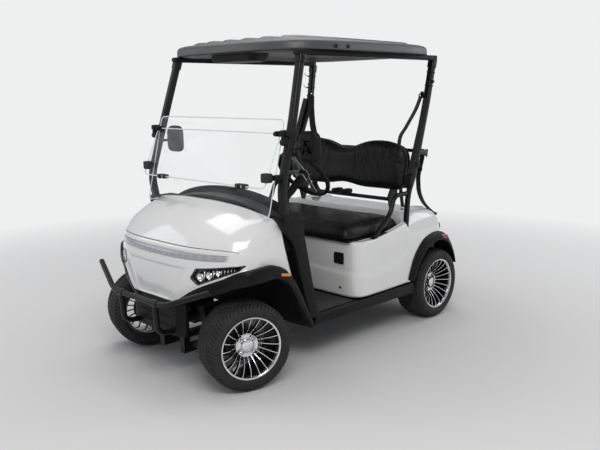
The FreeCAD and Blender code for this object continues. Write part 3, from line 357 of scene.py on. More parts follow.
def blank(name, **sockets):
    # A new material and its shader, with the plain numbers of the shader set.
    material = bpy.data.materials.new(name)
    material.use_nodes = True
    shader = material.node_tree.nodes["Principled BSDF"]
    for label, value in sockets.items():
        shader.inputs[label.replace("_", " ")].default_value = value
    return material, material.node_tree, shader


def place(tree, stretch=(1, 1, 1), uv=False):
    # Where a pattern is read: Object coordinates (or the piece's own UV), stretched.
    where = tree.nodes.new("ShaderNodeTexCoord")
    mapping = tree.nodes.new("ShaderNodeMapping")
    mapping.inputs["Scale"].default_value = stretch
    feed(mapping.inputs["Vector"], where.outputs["UV" if uv else "Object"])
    return mapping.outputs["Vector"]


def feed(socket, value):
    # A value linked to a socket.
    socket.id_data.links.new(value, socket)


def noise(tree, scale, detail=3.0, at=None):
    # Cloudy noise from 0 to 1.
    node = tree.nodes.new("ShaderNodeTexNoise")
    node.inputs["Scale"].default_value = scale
    node.inputs["Detail"].default_value = detail
    node.inputs["Roughness"].default_value = 0.55
    feed(node.inputs["Vector"], at or place(tree))
    return node.outputs["Fac"]


def cells(tree, scale, kind="F1"):
    # Grain of small cells: the distance to the nearest cell point, or to the wall between cells.
    node = tree.nodes.new("ShaderNodeTexVoronoi")
    node.feature = kind
    node.inputs["Scale"].default_value = scale
    feed(node.inputs["Vector"], place(tree))
    return node.outputs["Distance"]


def waves(tree, scale, at, way="X", bend=0.0):
    # Even bars across one way: a sine of the place, bent by noise.
    node = tree.nodes.new("ShaderNodeTexWave")
    node.bands_direction = way
    node.wave_profile = "SIN"
    node.inputs["Scale"].default_value = scale
    node.inputs["Distortion"].default_value = bend
    feed(node.inputs["Vector"], at)
    return node.outputs["Fac"]


def fit(tree, value, low, high, start=0.25, end=0.75):
    # A value that runs from start to end, fitted to run from low to high.
    node = tree.nodes.new("ShaderNodeMapRange")
    for label, number in (("From Min", start), ("From Max", end), ("To Min", low), ("To Max", high)):
        node.inputs[label].default_value = number
    feed(node.inputs["Value"], value)
    return node.outputs["Result"]


def tones(tree, value, *stops):
    # Colours laid along a value: each stop is (place, (red, green, blue)).
    node = tree.nodes.new("ShaderNodeValToRGB")
    ramp = node.color_ramp
    while len(ramp.elements) < len(stops):
        ramp.elements.new(0.5)
    for element, (at, colour) in zip(ramp.elements, stops):
        element.position = at
        element.color = (*colour, 1)
    feed(node.inputs["Fac"], value)
    return node.outputs["Color"]


def combine(tree, kind, a, b):
    # A sum, product, power or other arithmetic of two values.
    node = tree.nodes.new("ShaderNodeMath")
    node.operation = kind
    for socket, value in zip(node.inputs, (a, b)):
        if isinstance(value, (int, float)):
            socket.default_value = value
        else:
            feed(socket, value)
    return node.outputs["Value"]


def relief(tree, shader, height, strength, distance):
    # A height that tips the surface: strength is a share of distance in metres.
    node = tree.nodes.new("ShaderNodeBump")
    node.inputs["Strength"].default_value = strength
    node.inputs["Distance"].default_value = distance
    feed(node.inputs["Height"], height)
    feed(shader.inputs["Normal"], node.outputs["Normal"])


def mixed(tree, share, first, second, output):
    # Two shaders mixed by a share, shown at the output.
    both = tree.nodes.new("ShaderNodeMixShader")
    for socket, value in zip(both.inputs, (share, first, second)):
        feed(socket, value)
    feed(tree.nodes[output].inputs["Surface"], both.outputs["Shader"])


def finish(name, look):
    # A painted or moulded surface: its colour drifts between two tones with slow noise, its
    # gloss with finer noise, and its grain is noise or cells as bump.
    material, tree, shader = blank(name, Metallic=look.get("metal", 0.0), Coat_Weight=look.get("coat", 0.0),
                                   Coat_Roughness=look.get("coatRough", 0.05),
                                   Specular_IOR_Level=look.get("shine", 0.5))
    slow = noise(tree, look.get("drift", 5.0), 4.0)
    feed(shader.inputs["Base Color"], tones(tree, slow, (0.35, look["dark"]), (0.65, look["light"])))
    feed(shader.inputs["Roughness"], fit(tree, noise(tree, look.get("fine", 38.0), 5.0), *look["rough"], 0.3, 0.7))
    if "grain" in look:
        kind, scale, strength, distance = look["grain"]
        height = cells(tree, scale) if kind == "cells" else noise(tree, scale, 2.0)
        relief(tree, shader, height, strength, distance)
    return material


looks = {
    "whitePaint": dict(light=(0.84, 0.84, 0.835), dark=(0.80, 0.80, 0.80), rough=(0.16, 0.24), coat=1.0,
                       coatRough=0.03, drift=2.5, grain=("noise", 260, 0.012, 0.001)),
    "satinBlack": dict(light=(0.008, 0.0082, 0.0085), dark=(0.005, 0.005, 0.0055), rough=(0.34, 0.48), shine=0.17,
                       grain=("noise", 1100, 0.12, 0.0006)),
    "blackPlastic": dict(light=(0.0095, 0.0095, 0.010), dark=(0.006, 0.006, 0.0065), rough=(0.44, 0.60), shine=0.17,
                         grain=("cells", 620, 0.30, 0.0005)),
    "blackMetal": dict(light=(0.007, 0.007, 0.0075), dark=(0.0045, 0.0045, 0.005), rough=(0.26, 0.40), shine=0.20,
                       coat=0.10, coatRough=0.2, grain=("noise", 1500, 0.10, 0.0004)),
    "graphite": dict(light=(0.066, 0.068, 0.071), dark=(0.050, 0.052, 0.055), rough=(0.42, 0.52), coat=0.18,
                     coatRough=0.34, metal=0.10, grain=("noise", 420, 0.05, 0.0006)),
    "castIron": dict(light=(0.055, 0.054, 0.052), dark=(0.030, 0.030, 0.030), rough=(0.5, 0.72), metal=0.55,
                     drift=14, grain=("noise", 380, 0.35, 0.001)),
    "plainSteel": dict(light=(0.56, 0.56, 0.57), dark=(0.42, 0.42, 0.43), rough=(0.22, 0.40), metal=1.0,
                       drift=30, grain=("noise", 900, 0.06, 0.0003)),
    "chrome": dict(light=(0.86, 0.86, 0.87), dark=(0.80, 0.80, 0.82), rough=(0.05, 0.12), metal=1.0, drift=20),
    "rimBlack": dict(light=(0.010, 0.010, 0.011), dark=(0.007, 0.007, 0.008), rough=(0.14, 0.24), coat=0.6,
                     grain=("noise", 700, 0.03, 0.0003)),
    "mirrorGlass": dict(light=(0.83, 0.85, 0.86), dark=(0.80, 0.82, 0.83), rough=(0.015, 0.03), metal=1.0),
    "silverPlate": dict(light=(0.40, 0.41, 0.42), dark=(0.33, 0.34, 0.35), rough=(0.28, 0.38), metal=0.85,
                        grain=("noise", 1300, 0.06, 0.0003)),
    "rubber": dict(light=(0.022, 0.022, 0.022), dark=(0.014, 0.014, 0.014), rough=(0.66, 0.82), fine=60,
                   grain=("noise", 520, 0.25, 0.0007)),
    "floorMat": dict(light=(0.040, 0.038, 0.036), dark=(0.022, 0.022, 0.021), rough=(0.60, 0.80), drift=9, fine=24,
                     grain=("cells", 480, 0.3, 0.0006)),
    "batteryCase": dict(light=(0.030, 0.032, 0.036), dark=(0.020, 0.021, 0.024), rough=(0.38, 0.55),
                        grain=("noise", 900, 0.12, 0.0005)),
}
mat = {name: finish(name, look) for name, look in looks.items()}


def clearPane(name, tint, shine):
    # Thin clear sheet: mirrored light is mixed in by shine times the third power of how far the
    # sheet turns from sight, plus faint wiping marks.
    material, tree, shader = blank(name, Base_Color=(0.93, 0.95, 0.95, 1), Metallic=1.0)
    smudge = noise(tree, 7.0, 6.0, place(tree, (1, 1, 0.25)))
    feed(shader.inputs["Roughness"], fit(tree, smudge, 0.02, 0.09, 0.4, 0.7))
    through = tree.nodes.new("ShaderNodeBsdfTransparent")
    through.inputs["Color"].default_value = (*tint, 1)
    facing = tree.nodes.new("ShaderNodeLayerWeight")
    facing.inputs["Blend"].default_value = 0.5
    edge = combine(tree, "MULTIPLY", combine(tree, "POWER", facing.outputs["Facing"], 3.0), shine)
    smear = fit(tree, noise(tree, 3.2, 5.0, place(tree, (1, 1, 0.4))), 0.0, 0.02, 0.45, 0.75)
    share = combine(tree, "ADD", edge, smear)
    mixed(tree, share, through.outputs["BSDF"], shader.outputs["BSDF"], "Material Output")
    return material


def lens(name, bright, deep, ribs, clear):
    # Moulded lens: colour deepens between its ribs, which are bars in relief; the deeper colour is painted shade in
    # the grooves.
    material, tree, shader = blank(name, Coat_Weight=1.0, Coat_Roughness=0.04, Transmission_Weight=clear,
                                   IOR=1.49)
    bars = waves(tree, ribs, place(tree), "Y")
    # Painted shade: the colour follows the ribs' relief, deep in the grooves and bright on the crowns.
    feed(shader.inputs["Base Color"], tones(tree, bars, (0.2, deep), (0.8, bright)))
    feed(shader.inputs["Roughness"], fit(tree, noise(tree, 50.0), 0.08, 0.2))
    relief(tree, shader, bars, 0.25, 0.002)
    return material


def vinyl(name, light, dark, pores, folds):
    # Leather-grained vinyl: pores between small cells over long soft creases.
    material, tree, shader = blank(name, Specular_IOR_Level=0.20, Coat_Weight=0.07, Coat_Roughness=0.28)
    feed(shader.inputs["Base Color"], tones(tree, noise(tree, 6.0, 5.0), (0.35, dark), (0.7, light)))
    feed(shader.inputs["Roughness"], fit(tree, noise(tree, 26.0, 6.0), 0.36, 0.52, 0.3, 0.7))
    grain = combine(tree, "MULTIPLY", cells(tree, pores, "DISTANCE_TO_EDGE"), 0.5)
    crease = combine(tree, "MULTIPLY", noise(tree, folds, 5.0, place(tree, (1, 2.2, 1))), 1.4)
    relief(tree, shader, combine(tree, "ADD", grain, crease), 0.30, 0.0022)
    return material


def woven(name, light, dark, threads):
    # Webbing: threads along and across the strap's own UV map, the weft over and under the warp; its colour is darker
    # where the weave is low, painted shade in the hollows between threads.
    material, tree, shader = blank(name, Sheen_Weight=0.25, Sheen_Roughness=0.4)
    at = place(tree, uv=True)
    mesh = combine(tree, "MULTIPLY", waves(tree, threads, at, "X"), waves(tree, threads * 0.6, at, "Y"))
    # Painted shade: the colour follows the weave's relief, dark in the hollows and light on the threads.
    feed(shader.inputs["Base Color"], tones(tree, mesh, (0.1, dark), (0.7, light)))
    feed(shader.inputs["Roughness"], fit(tree, noise(tree, 60.0), 0.7, 0.9))
    relief(tree, shader, mesh, 0.5, 0.0008)
    return material


def tyreRubber(name):
    # Tyre rubber: its tone is two noises multiplied, like dust, over a fine mould grain.
    material, tree, shader = blank(name, Specular_IOR_Level=0.4)
    dust = combine(tree, "MULTIPLY", noise(tree, 11.0, 6.0), noise(tree, 90.0, 3.0))
    feed(shader.inputs["Base Color"], tones(tree, dust, (0.15, (0.012, 0.012, 0.012)), (0.42, (0.026, 0.025, 0.024))))
    feed(shader.inputs["Roughness"], fit(tree, noise(tree, 18.0, 5.0), 0.52, 0.80, 0.3, 0.7))
    relief(tree, shader, noise(tree, 700.0, 3.0), 0.2, 0.0006)
    return material


def turnedMetal(name, light, dark, cuts):
    # Machined alloy: fine tool marks, a wave read from the piece's own UV (u is the radius).
    material, tree, shader = blank(name, Metallic=1.0)
    at = place(tree, uv=True)
    marks = waves(tree, cuts, at, "X", 1.5)
    feed(shader.inputs["Base Color"], tones(tree, noise(tree, 25.0, 4.0), (0.3, dark), (0.7, light)))
    feed(shader.inputs["Roughness"], fit(tree, marks, 0.13, 0.25, 0.0, 1.0))
    relief(tree, shader, marks, 0.08, 0.0003)
    return material


mat["pane"] = clearPane("windshieldPane", (0.985, 0.99, 0.987), 0.22)
mat["lampCover"] = clearPane("lampCover", (0.97, 0.97, 0.97), 0.45)
mat["paneEdge"] = finish("paneEdge", dict(light=(0.80, 0.84, 0.84), dark=(0.66, 0.71, 0.72), rough=(0.12, 0.3),
                                          drift=12, coat=0.6))
# The lenses' second colour is the painted shade in the grooves between their ribs.
mat["amber"] = lens("amberLens", (0.75, 0.20, 0.015), (0.42, 0.085, 0.008), 60.0, 0.0)
mat["red"] = lens("redLens", (0.50, 0.012, 0.010), (0.20, 0.004, 0.004), 55.0, 0.0)
mat["barLens"] = lens("barLens", (0.45, 0.455, 0.49), (0.39, 0.395, 0.43), 6.0, 0.10)
mat["vinyl"] = vinyl("blackVinyl", (0.0075, 0.0075, 0.008), (0.004, 0.004, 0.0045), 520.0, 9.0)
# The webbing's second colour is the painted shade in the weave's hollows.
mat["webbing"] = woven("webbing", (0.022, 0.022, 0.023), (0.009, 0.009, 0.009), 10.0)
mat["tyre"] = tyreRubber("tyreRubber")
mat["machined"] = turnedMetal("machinedAlloy", (0.88, 0.88, 0.89), (0.78, 0.78, 0.80), 90.0)
print("materials made:", len(mat))

# What each CAD node that stays in sight is made of
nodeFinish = {
    "blackMetal": ("frame_rails", "cross_members", "front_subframe"),
    "blackPlastic": ("footwell_wall", "seat_board", "bag_well_mat", "floor_pan"),
    "castIron": ("rear_axle", "drive_motor", "front_left_knuckle", "front_right_knuckle", "rear_suspension",
                 "front_suspension"),
    "plainSteel": ("tie_rod", "pitman_arm"),
    "batteryCase": ("battery_block",),
}
for finishName, names in nodeFinish.items():
    for name in names:
        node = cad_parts[name]
        node.data.materials.clear()
        node.data.materials.append(mat[finishName])


# Front cowl, lamps and flares

# Cowl columns from the middle to the side; each runs from the hood's rear edge over the seam, the
# light bar's upper and lower edge and the crease to the bottom edge.
cowl = dict(
    net=mm * np.array([
        [(693, 0, 958), (800, 0, 915), (914, 0, 851), (994, 0, 760), (1005, 0, 731), (1017, 0, 694),
         (1023, 0, 659), (1031, 0, 560), (1038, 0, 462)],
        [(691, 130, 957), (798, 130, 913), (909, 130, 848), (988, 145, 758), (1000, 148, 731), (1012, 150, 694),
         (1019, 150, 659), (1029, 145, 560), (1039, 140, 463)],
        [(686, 250, 950), (790, 252, 906), (897, 258, 841), (972, 274, 757), (984, 278, 731), (995, 280, 696),
         (1002, 282, 662), (1020, 250, 560), (1035, 202, 472)],
        [(677, 350, 939), (778, 358, 894), (880, 370, 831), (944, 382, 757), (953, 383, 731), (962, 384, 697),
         (969, 385, 665), (984, 365, 596), (998, 320, 545)],
        [(663, 430, 923), (760, 442, 879), (848, 462, 815), (896, 466, 752), (905, 465, 729), (914, 464, 698),
         (921, 463, 668), (928, 458, 632), (938, 440, 600)],
        [(643, 490, 905), (729, 510, 855), (797, 526, 789), (837, 530, 737), (845, 530, 719), (853, 530, 695),
         (860, 531, 672), (868, 532, 655), (880, 532, 636)],
        [(625, 520, 890), (692, 543, 826), (734, 557, 762), (762, 563, 716), (771, 564, 702), (779, 565, 687),
         (786, 565, 674), (795, 565, 665), (812, 564, 652)],
        [(608, 535, 881), (650, 556, 811), (672, 564, 750), (688, 566, 708), (694, 567, 696), (700, 567, 684),
         (706, 567, 674), (712, 567, 664), (722, 567, 648)],
        [(596, 545, 872), (590, 560, 795), (578, 565, 730), (566, 567, 685), (562, 567, 668), (556, 567, 650),
         (551, 567, 632), (545, 567, 612), (530, 567, 566)],
    ]),
    rows=(("hood", 0, 2.9, 44), ("seam", 2.93, 3.07, 5), ("band", 3.15, 3.85, 7), ("bar", 3.94, 5.06, 17),
          ("brow", 5.2, 5.9, 8), ("crease", 5.95, 6.12, 4), ("face", 6.2, 8, 36)),
    columns=281, wall=0.005,
    barGroove=0.006, barHalf=0.478, seamDepth=0.0036, ridge=0.0015,
    recess=mm * np.array([(-263, 652), (-142, 464), (142, 464), (263, 652)]), recessDepth=0.007,
    lamp=mm * np.array([(296, 605), (327, 657), (547, 680), (530, 652), (342, 570)]),
)
cowlNet = mirroredNet(cowl["net"])
cowlRows = np.concatenate([np.linspace(a, b, n) for _, a, b, n in cowl["rows"]])
cowlColumns = np.linspace(0, 16, cowl["columns"])


def cowlSurface(rows, columns, lift=0.0):
    # The cowl's skin at rows and columns of its net, moved outwards by lift.
    grid = skin(cowlNet, rows, columns)
    return grid + normals(grid) * lift


def barrier(value, low, high, soft):
    # 1 between low and high, falling to 0 over soft on either side.
    return smooth(value, low - soft, low) * (1 - smooth(value, high, high + soft))


def makeCowl():
    # The skin, sunk along its normal in the light bar's groove, along the hood's seam and in the
    # framed face below the crease; faces behind the lamps are left out, and the wall goes inwards.
    grid = cowlSurface(cowlRows, cowlColumns)
    y = grid[..., 1]
    row = np.broadcast_to(cowlRows[:, None], y.shape)
    end = cowl["barHalf"]
    groove = barrier(row, 4.04, 4.96, 0.09) * (1 - smooth(np.abs(y), end - 0.002, end + 0.004))
    seam = np.exp(-((row - 3.0) / 0.022) ** 2) * (1 - smooth(np.abs(y), 0.50, 0.53))
    framed = smooth(inside(grid[..., 1:], cowl["recess"]), 0, 0.009) * (row > 5.9)
    ridge = np.exp(-((row - 6.0) / 0.07) ** 2) * (1 - smooth(np.abs(y), 0.30, 0.52)) * cowl["ridge"]
    sunk = groove * cowl["barGroove"] + seam * cowl["seamDepth"] + framed * cowl["recessDepth"] - ridge
    grid = grid - normals(grid) * sunk[..., None]
    middle = (grid[:-1, :-1] + grid[1:, 1:]) / 2
    flat = np.stack([np.abs(middle[..., 1]), middle[..., 2]], axis=-1)
    keep = ~((inside(flat, anticlockwise(cowl["lamp"])) > 0.004) & (middle[..., 0] > 0.8))
    piece("frontCowl", dict(grid=grid, keep=keep), "whitePaint", ["front_cowl"], sharp=60,
          thick=cowl["wall"], out=False)
    return grid


def cowlDepth(flat):
    # X of the cowl at (y, z) points of the left side: the nearest surface points, weighted by
    # one over their distance squared.
    near = cowlGrid[cowlGrid[..., 0] > 0.8]
    near = near[near[:, 1] > 0.2]
    away = np.sum((flat[:, None] - near[None, :, 1:]) ** 2, axis=2)
    pick = np.argsort(away, axis=1)[:, :4]
    share = 1 / (np.take_along_axis(away, pick, axis=1) + 1e-8)
    return np.sum(near[pick, 0] * share, axis=1) / np.sum(share, axis=1)


def ringOnCowl(outline, draw, lift):
    # A lamp outline drawn in and laid on the cowl, then moved forward by lift.
    flat = drawnIn(outline, draw)
    return np.column_stack([cowlDepth(flat) + lift, flat])


lightBar = dict(
    low=4.12, high=4.88, half=0.474, round=0.017,
    across=(-1, -1, -0.86, -0.5, 0, 0.5, 0.86, 1, 1),
    lift=mm * np.array([-5.5, -1.0, 0.6, 1.2, 1.4, 1.2, 0.6, -1.0, -5.5]),
)


def makeLightBar():
    # A strip of the cowl's skin between the groove's edges whose height shrinks as a half circle
    # at its ends, lifted by a crown across it; its points lie between rows of a finer sheet.
    steps = np.linspace(0, 16, 400)
    reach = np.abs(skin(cowlNet, [4.5], steps)[0, :, 1])
    steps, reach = steps[reach < lightBar["half"]], reach[reach < lightBar["half"]]
    past = np.clip(reach - lightBar["half"] + lightBar["round"], 0, None)
    tall = np.sqrt(np.clip(1 - (past / lightBar["round"]) ** 2, 0.02, 1))
    first, step = 3.9, 0.02
    sheet = cowlSurface(np.linspace(first, 5.1, 61), steps)
    across = np.array(lightBar["across"])[:, None] * (lightBar["high"] - lightBar["low"]) / 2
    want = (4.5 + across * tall - first) / step
    k = np.clip(want.astype(int), 0, 59)
    f, column = (want - k)[..., None], np.arange(len(steps))[None, :]
    grid = sheet[k, column] * (1 - f) + sheet[k + 1, column] * f
    grid += normals(sheet)[k, column] * lightBar["lift"][:, None, None]
    piece("lightBar", dict(grid=grid), "barLens", ["light_bar"], sharp=50, out=False)


# The bead's sink, radius and half length; the bead is painted shade in the hood's seam.
hoodGapShade = dict(sunk=0.0022, radius=0.0023, half=0.515)


def makeHoodGapShade():
    # The dark gap at the hood's lower edge: a fine black bead sunk in the seam, put there as painted shade for the
    # shadow inside the gap.
    line = skin(cowlNet, [2.98, 3.0, 3.02], np.linspace(0, 16, 300))
    path = (line - normals(line) * hoodGapShade["sunk"])[1]
    path = path[np.abs(path[:, 1]) < hoodGapShade["half"]]
    piece("hoodGapShade", roundBar(path, hoodGapShade["radius"], 10), "rubber", sharp=35)


headlight = dict(
    bezel=0.006, proud=0.0025, deep=0.022, corner=0.006, backing=0.024,
    dishes=((0.346, 0.613, 0.020), (0.392, 0.624, 0.018), (0.432, 0.637, 0.014)),
    # Fins by y; the pocket's lower and upper line there: height at the first y, and slope
    fins=(0.370, 0.413, 0.450, 0.464, 0.478, 0.492, 0.506), finWide=0.0035,
    lineFrom=0.345, lines=((0.574, 0.42), (0.656, 0.10)),
)


def makeHeadlights():
    # A gloss bezel laid on the cowl and turned in to a black pocket; bowls (depth grows with the
    # square of the radius) and fins of bright metal in it; and a clear cover over all.
    outline = evenly(rounded(anticlockwise(cowl["lamp"]), headlight["corner"], 6), 96, True)
    b, deep, proud, backing = (headlight[key] for key in ("bezel", "deep", "proud", "backing"))
    bezel = np.stack([ringOnCowl(outline, draw, lift) for draw, lift in
                      ((-0.001, -0.006), (-0.001, 0.0015), (0.0008, proud), (b - 0.001, proud), (b, 0.001),
                       (b + 0.001, -deep))])
    back, cover = ringOnCowl(outline, b + 0.001, -deep), ringOnCowl(outline, b - 0.0005, -0.0008)
    floor = np.stack([back, shrunk(back)])
    glass = np.stack([cover, ringOnCowl(outline, b + 0.006, 0.0002), shrunk(cover)])
    bright = []
    for y, z, radius in headlight["dishes"]:
        x = float(cowlDepth(np.array([(y, z)]))[0])
        r = np.linspace(0.02, 1, 8) * radius
        profile = [*zip(r**2 / radius * 0.9, r), (radius * 0.9 - 0.002, radius + 0.0015), (0, radius * 0.5)]
        bright.append(lathe(profile, 28, (1, 0.25, 0.05), (x - backing, y, z), 1))
    for y in headlight["fins"]:
        low, high = (z + (y - headlight["lineFrom"]) * slope for z, slope in headlight["lines"])
        x = float(cowlDepth(np.array([(y, (low + high) / 2)]))[0])
        wide = (y, y + headlight["finWide"])
        bright.append(box((x - backing, x - 0.008), wide, (low + 0.009, high - 0.012), 0.0008, 1))
    piece("headlights", pair(dict(grid=bezel, wrapV=True), dict(grid=floor, wrapV=True), *bright),
          "rimBlack chrome", ["headlights"])
    piece("headlightCovers", pair(dict(grid=glass, wrapV=True, flip=True)), "lampCover", sharp=60,
          out=False)


# Flare stations from the nose to the sill: upper edge, lower edge, and the way into the body.
flare = dict(
    stations=mm * np.array([
        [(1036, 150, 464), (1032, 150, 434)],
        [(1036, 196, 474), (1032, 196, 440)],
        [(1024, 235, 500), (1024, 232, 452)],
        [(994, 338, 548), (994, 330, 488)],
        [(948, 432, 592), (948, 428, 520)],
        [(902, 530, 638), (906, 530, 562)],
        [(850, 588, 654), (850, 594, 582)],
        [(764, 603, 660), (766, 606, 587)],
        [(700, 604, 661), (700, 607, 590)],
        [(655, 604, 650), (648, 607, 578)],
        [(609, 604, 626), (596, 607, 545)],
        [(570, 603, 584), (566, 606, 505)],
        [(524, 601, 530), (540, 604, 462)],
        [(472, 600, 436), (505, 603, 398)],
        [(420, 600, 330), (452, 603, 316)],
        [(385, 600, 258), (415, 603, 250)],
    ]),
    inward=np.array([(-1, 0, 0), (-1, -0.1, 0), (-1, -0.3, 0), (-0.9, -0.4, 0), (-0.8, -0.6, 0), (-0.5, -0.86, 0),
                     (-0.2, -0.98, 0)] + [(0, -1.0, 0)] * 9),
    screws=((946, 436, 566), (846, 603, 624), (724, 606, 632)), turnsAt=900,
    screw=((-4, 0), (-4, 5.5), (2.8, 6.5), (4.6, 8.5), (4.6, 10), (0, 12)),
    marker=((652, 606), (586, 592)), markerHalf=8.5, markerY=(0.600, 0.6145),
)


def bandGrid(stations, inward, count, proud=0.004):
    # Sections across a band: a tucked edge, a rounded shoulder at the upper edge, a crowned face,
    # a rounded lower edge and a lip turned in; the sections follow a spline along the stations.
    line = spline(stations, count)
    turn = unit(spline(inward, count))
    top, low = line[:, 0], line[:, 1]
    down = low - top
    steps = [(0.00, 0.034), (0.00, 0.010), (0.015, 0.0035), (0.07, 0.000), (0.3, -proud * 0.8), (0.55, -proud),
             (0.82, -proud * 0.7), (0.95, -0.0005), (0.995, 0.003), (1.0, 0.010), (0.97, 0.040)]
    return np.stack([top + down * f + turn * t for f, t in steps], axis=1)


def makeFlares():
    # The front flares with the dark band under the nose, their screw wells and side markers.
    parts = [dict(grid=bandGrid(flare["stations"], flare["inward"], 150))]
    for place in flare["screws"]:
        way = (0.75, 0.66, 0) if place[0] > flare["turnsAt"] else (0, 1, 0)
        parts.append(lathe(mm * np.array(flare["screw"]), 28, way, mm * np.array(place)))
    piece("frontFlares", pair(*parts), "satinBlack", ["front_flares"], sharp=50, out=False)
    front, rear = mm * np.array(flare["marker"])
    way = unit(rear - front)
    side = np.array([-way[1], way[0]]) * flare["markerHalf"] * mm
    outline = rounded(np.array([front + side, rear + side, rear - side, front - side]), 0.008, 8)
    piece("sideMarkers", pair(slab(outline, *flare["markerY"], "XZ", 0.003, 5)), "amber",
          ["side_markers"], sharp=60)


cowlGrid = makeCowl()
makeLightBar()
makeHoodGapShade()
makeHeadlights()
makeFlares()
print("cowl, lamps and flares made")


# Roof

roof = dict(
    front=0.508, rear=-0.866, half=0.603, lip=1.768, top=1.850, corner=5.0, wall=0.006,
    profile=((0.000, 0.000), (0.001, 0.006), (0.002, 0.030), (0.006, 0.042), (0.016, 0.050), (0.034, 0.056),
             (0.060, 0.0600)),
    ribs=(-0.39, -0.235, -0.08, 0.08, 0.235, 0.39), ribWidth=0.052, ribHeight=0.012, ribEnds=(-0.74, 0.40),
    ribStep=0.016, ribFade=0.05, dome=0.022, tailFall=0.030, plugs=((0.20, 1.786), (0.10, 1.786)),
)
# The panel's rings (drawn in, height), a side bar's section and its ends (x, share of the
# section), and the console over the windshield: its plan and rings (share of the plan, height).
roofFrame = dict(
    panel=((0.014, 1.772), (0.016, 1.764), (0.075, 1.756), (0.15, 1.762), (0.20, 1.778), (0.34, 1.782)),
    bar=((0.508, 1.735), (0.562, 1.735), (0.562, 1.766), (0.508, 1.766)), barMiddle=(0.535, 1.7505),
    barEnds=((-0.848, 0.8), (-0.842, 1), (0.430, 1), (0.445, 0.7)),
    console=((0.44, -0.20), (0.44, 0.20), (0.25, 0.15), (0.25, -0.15)), consoleMiddle=(0.34, 0.0),
    consoleRings=((1.0, 1.768), (1.0, 1.742), (0.97, 1.730), (0.90, 1.721), (0.75, 1.7175), (0.02, 1.717)),
)


def roofOutline(draw, count=240):
    # A superellipse plan drawn in all round: |x/a|^n + |y/b|^n = 1 with n set by corner.
    a = np.linspace(0, 2 * pi, count, endpoint=False)
    n = 2 / roof["corner"]
    halfLong = (roof["front"] - roof["rear"]) / 2 - draw
    x = np.sign(np.cos(a)) * np.abs(np.cos(a)) ** n * halfLong
    y = np.sign(np.sin(a)) * np.abs(np.sin(a)) ** n * (roof["half"] - draw)
    ring = np.column_stack([x + (roof["front"] + roof["rear"]) / 2, y])
    return evenly(ring, count, True)


def roofTop(x, y):
    # Height of the roof's skin over the lip: a dome that falls to its edges, with flat-topped
    # ribs along it that fade at both ends.
    across, length = np.abs(y) / roof["half"], np.abs(x + 0.18) / 0.70
    dome = roof["dome"] * (1 - np.clip(across, 0, 1) ** 2.4) * (1 - length ** 3)
    rise = np.zeros_like(x)
    for at in roof["ribs"]:
        rise = np.maximum(rise, barrier(np.abs(y - at), -1, roof["ribWidth"] / 2, roof["ribStep"]))
    ends = barrier(x, roof["ribEnds"][0] + 0.03, roof["ribEnds"][1] - 0.03, roof["ribFade"])
    return np.clip(dome, 0, None) + rise * ends * roof["ribHeight"]


def makeRoof():
    # Rings drawn in from the drip lip up the side band and over the edge, then rings shrinking
    # to the middle that take the dome's and the ribs' height; the shell gets its wall inwards.
    rings = [atZ(roofOutline(draw), roof["lip"] + rise) for draw, rise in roof["profile"]]
    draw, rise = roof["profile"][-1]
    edge = roofOutline(draw)
    centre = np.array([(roof["front"] + roof["rear"]) / 2, 0])
    for share in np.linspace(0.985, 0.0, 90):
        flat = centre + (edge - centre) * share
        lift = roofTop(flat[:, 0], flat[:, 1]) * smooth(1 - share, 0.0, 0.09)
        rings.append(np.column_stack([flat, roof["lip"] + rise + lift]))
    grid = np.stack(rings)
    grid[..., 2] -= roof["tailFall"] * smooth(-grid[..., 0], 0.76, 0.90) * (grid[..., 2] > roof["lip"] + 0.02)
    grid[..., 2] = np.minimum(grid[..., 2], roof["top"])
    piece("roofShell", dict(grid=grid, wrapV=True, flip=True), "graphite", ["roof"],
          thick=roof["wall"], out=False)
    plugs = [disc((0, 1, 0), (x, roof["half"] - 0.003, z), 0.011, 0.006) for x, z in roof["plugs"]]
    piece("roofPlugs", pair(*plugs), "blackPlastic")


def makeRoofFrame():
    # The panel under the roof with a raised field in its middle, the hollow bars along both
    # sides that the struts carry, and the rounded console over the windshield.
    rings = [atZ(roofOutline(draw), z) for draw, z in roofFrame["panel"]]
    rings.append(shrunk(rings[-1]))
    section, middle = rounded(roofFrame["bar"], 0.010, 5), np.array(roofFrame["barMiddle"])
    bar = [atX(x, middle + (section - middle) * share) for x, share in roofFrame["barEnds"]]
    plan, middle = rounded(roofFrame["console"], 0.06, 10), np.array(roofFrame["consoleMiddle"])
    console = [atZ(middle + (plan - middle) * share, z) for share, z in roofFrame["consoleRings"]]
    parts = [dict(grid=np.stack(grid), wrapV=True, flip=True) for grid in (rings, console)]
    parts += pair(dict(grid=np.stack(bar), wrapV=True, caps=True))
    piece("roofFrame", parts, "blackPlastic", ["roof_frame"], out=False)


makeRoof()
makeRoofFrame()
print("roof made")


# Cabin

